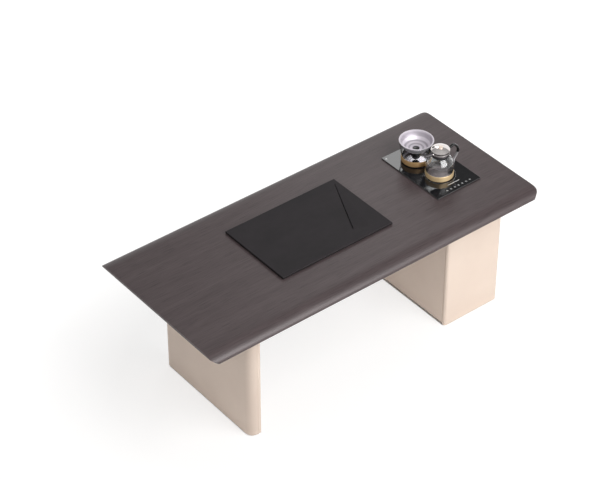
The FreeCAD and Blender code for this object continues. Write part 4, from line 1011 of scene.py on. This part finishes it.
def vent_plug():
    """A black plug on the lid's left shoulder, turned about the dome's own normal."""
    lean = math.asin(vent_out / dome_radius)
    profile = profile_line((0.0, -0.6), (6.8, -0.6), arc((6.8, 0.7), (4.8, 1.6), (0.0, 2.0), 6))
    reach, height = profile.T[:, :, None]
    angle = np.linspace(0.0, 2 * math.pi, 28, endpoint=False)[None, :]
    height = dome_radius + height + 0.0 * angle
    out = height * math.sin(lean) + reach * np.cos(angle) * math.cos(lean)
    rise = dome_centre + height * math.cos(lean) - reach * np.cos(angle) * math.sin(lean)
    skin = mm * np.stack([-out, reach * np.sin(angle), rise], axis=-1)
    points = turned_about(skin, kettle_centre, kettle_turn + lid_turn)
    faces = grid_faces(*points.shape[:2], wrap_columns=True)
    return finish_mesh(mesh_piece("lid_vent", points, faces))


def lid_knob_profile():
    """A short neck under a flat button with a rounded rim and a low crown."""
    neck, depth, base = 2.3, -2.8, 9.2
    rim = arc((12.6, 3.0), (13.0, 3.4), (12.7, 4.0), 4)
    crown = arc((12.0, 4.4), (6.5, 6.3), (0.0, 7.0), 8)
    button = profile_line((0.0, depth), (neck, depth), (neck, 0.0), (base, 0.0), rim, crown)
    return button + (0.0, knob_foot)


seat(turned_piece("steel_lid", kettle_lid_profile(), kettle_centre, False, 112), "kettle_lid",
     "chrome_steel", mirror_steel("lid_steel", (228, 221, 218), (241, 235, 233), 0.05, 0.88),
     "kettle_lid")
seat(vent_plug(), "kettle_lid", "black_bakelite", moulded_black("vent_plug", 8, 0.85))
# Painted highlight: the knob is the same champagne gold as the bands, its tones painted near white
# for the bright light it reflects.
seat(turned_piece("gold_knob", lid_knob_profile(), kettle_centre, False, 64), "kettle_lid",
     "gold_steel", gold_plate("knob_gold_plate", (240, 222, 208), (252, 238, 226)),
     "kettle_lid_knob")

handle_line = mm * np.array([(48.8, 150.0), (59.4, 157.0), (77.4, 166.0), (89.8, 158.6),
                             (102.3, 143.0), (107.5, 125.0), (101.0, 100.0), (89.0, 80.0),
                             (79.9, 66.0)])
handle_half_width = 0.0075
handle_half_depth = 0.0055
handle_squareness = 3.2
strap_top = 0.114


def smooth_line(points, steps):
    """A Catmull-Rom curve through the points, at even steps of its parameter."""
    padded = np.concatenate([2 * points[:1] - points[1:2], points, 2 * points[-1:] - points[-2:-1]])
    place = np.linspace(0.0, len(points) - 1 - 1e-9, steps)
    index = place.astype(int)
    t = (place - index)[:, None]
    p0, p1, p2, p3 = (padded[index + k] for k in range(4))
    return 0.5 * (2 * p1 + (p2 - p0) * t + (2 * p0 - 5 * p1 + 4 * p2 - p3) * t ** 2
                  + (3 * p1 - p0 - 3 * p2 + p3) * t ** 3)


def ear_handle():
    """A rounded section carried along the ear's middle line, upright all the way."""
    line = smooth_line(handle_line, 60)
    along = np.gradient(line, axis=0)
    along = along / np.linalg.norm(along, axis=1, keepdims=True)
    angle = np.linspace(0.0, 2 * math.pi, 32, endpoint=False)
    power = 2.0 / handle_squareness
    across, thick = (half * np.sign(wave) * np.abs(wave) ** power
                     for half, wave in ((handle_half_width, np.sin(angle)),
                                        (handle_half_depth, np.cos(angle))))
    radial = line[:, :1] - along[:, 1:] * thick
    height = line[:, 1:] + along[:, :1] * thick
    skin = np.stack([radial, np.broadcast_to(across, radial.shape), height], axis=-1)
    return capped_rings("ear_handle", turned_about(skin, kettle_centre, kettle_turn))


def strapped_bakelite():
    """Glossy black, with a satin steel strap over the handle's lower third."""
    handle = Finish("strapped_bakelite")
    cloud = handle.noise(handle.place(), 90.0, 2.0)
    strap = handle.axes(kettle_centre)[2] < strap_top
    black = handle.tones(cloud, (12, 12, 13), (17, 17, 18))
    handle.into("Base Color", handle.blend(strap, black, (*linear(152, 148, 150), 1.0)))
    handle.into("Metallic", 0.5 * strap)
    handle.into("Roughness", 0.14 + 0.26 * strap + 0.04 * cloud)
    return handle


seat(ear_handle(), "kettle", "black_bakelite", strapped_bakelite(), "kettle_handle")
paint(mirror_steel("mirror_steel", (228, 228, 231), (240, 240, 242), 0.05), "kettle_handle_clip")


# The pot is a flared glass bowl on such a foot.  Its pressed steel lid lies
# upside down in the mouth, with the black knob hanging and its washer on top.

pot_rim = 125.0
ring_spacing = 0.021


def pot_glass_profile():
    """A straight foot in the band, then a wall that flares to a rounded rim."""
    foot, mouth, wall, rim_z = 75.8, 90.5, 3.0, pot_rim - 1.5
    outer = profile_line((foot - 0.7, band_low), (foot, 6.2), (foot, band_high),
                         arc((foot, band_high), (84.0, 72.0), (mouth, rim_z), 18)[1:])
    rim = arc((mouth, rim_z), (mouth - wall / 2, pot_rim), (mouth - wall, rim_z), 8)[1:]
    foot = foot - wall
    inner = profile_line(arc((mouth - wall, rim_z), (81.0, 72.0), (foot, band_high), 18)[1:],
                         (foot, 6.2), (foot + 0.7, band_low))
    return np.concatenate([outer, rim, inner])


def pot_lid_profile():
    """Rolled rim, leaning wall, a crease and a low dome, in 1.2 mm sheet."""
    mouth, sheet, crease, dome, flat = 86.5, 1.2, 63.0, 41.5, 20.0
    crease_z, dome_z, flat_z, wall_z = -41.0, -48.0, -50.0, -23.0
    roll_in, roll_out, roll_top = 90.75, 92.0, 2.5
    outer = profile_line(
        (0.0, flat_z - sheet), (flat, flat_z - sheet),
        arc((flat, flat_z - sheet), (dome, dome_z - sheet),
            (crease - 1.5, crease_z - sheet - 0.4), 12)[1:],
        (crease, crease_z - sheet + 0.6),
        arc((crease + 0.6, crease_z), (77.2, wall_z - sheet / 2), (mouth, 0.0), 16),
        (roll_in, 0.0), arc((roll_in, 0.0), (roll_out, 1.25), (roll_in, roll_top), 8)[1:])
    inner = profile_line(
        (mouth - sheet, roll_top),
        arc((mouth - sheet, roll_top), (76.0, wall_z + sheet / 2),
            (crease - 0.2, crease_z + 1.2), 16)[1:],
        (crease - 1.6, crease_z - 0.3),
        arc((crease - 3.0, crease_z - 0.8), (dome, dome_z), (flat, flat_z), 12), (0.0, flat_z))
    return np.concatenate([outer, inner]) + (0.0, pot_rim)


def spun_steel():
    """Satin steel, with the faint rings that spinning leaves about the axis."""
    spun = Finish("spun_steel", Metallic=0.38)
    cloud = spun.noise(spun.place(), 40.0, 3.0)
    turns = spun.off_axis(pot_centre) * (2 * math.pi / ring_spacing)
    wave = spun.node("ShaderNodeMath", {"operation": "SINE"}, {0: turns})
    spun.into("Base Color", spun.ramp(0.5 + 0.5 * wave, [(0.2, linear(178, 172, 180)),
                                                         (0.7, linear(221, 215, 222))]))
    spun.into("Roughness", 0.5 + 0.06 * cloud)
    spun.relief(wave, 0.0006, 0.9)
    return spun


def pot_knob_profile():
    """A round black knob, widest in the middle and flat where it meets the lid."""
    tip, top, hang = 21.0, 58.0, 15.8
    knob = profile_line((0.0, 0.0), arc((16.0, 0.0), (19.5, 1.5), (tip, 5.0), 6),
                        arc((tip, 5.0), (28.0, 26.1), (20.0, top), 24)[1:], (0.0, top))
    return knob + (0.0, hang)


def pot_washer_profile():
    """A disc with a low crown."""
    disc = profile_line((0.0, 0.0), (16.9, 0.0), arc((17.5, 0.3), (9.0, 1.8), (0.0, 2.5), 10))
    return disc + (0.0, pot_rim - 50.0)


bakelite = moulded_black("black_bakelite", 14, 0.14)
seat(turned_piece("pot_bowl", pot_glass_profile(), pot_centre, True, 128),
     "pot", "clear_glass", glassware, "pot_glass")
seat(turned_piece("pot_steel_lid", pot_lid_profile(), pot_centre, False, 128),
     "pot_lid", "chrome_steel", spun_steel(), "pot_lid")
seat(turned_piece("pot_hanging_knob", pot_knob_profile(), pot_centre, False, 64),
     "pot_lid", "black_bakelite", bakelite, "pot_lid_knob")
seat(turned_piece("pot_knob_washer", pot_washer_profile(), pot_centre, False, 64),
     "pot_lid", "black_bakelite", bakelite, "pot_lid_washer")


# The tea tray is a honed black slate slab on rubber pads, with a diagonal
# slot cut for spilt water and a shallow facet that leads down to it.

def honed_slate():
    """Charcoal slate: soft clouds, fine grit and faint layered relief."""
    slate = Finish("honed_slate", Specular_IOR_Level=0.3)
    cloud = slate.noise(slate.place((1.0, 1.6, 1.0)), 6.0, 6.0, 0.6)
    grit = slate.noise(slate.place(), 700.0, 2.0)
    slate.into("Base Color", slate.tones(0.7 * cloud + 0.3 * grit, (19, 14, 17), (33, 27, 31)))
    slate.into("Roughness", 0.52 + 0.2 * grit)
    slate.relief(0.6 * grit + 0.4 * cloud, 0.0004, 0.4)
    return slate


paint(honed_slate(), "tea_tray")
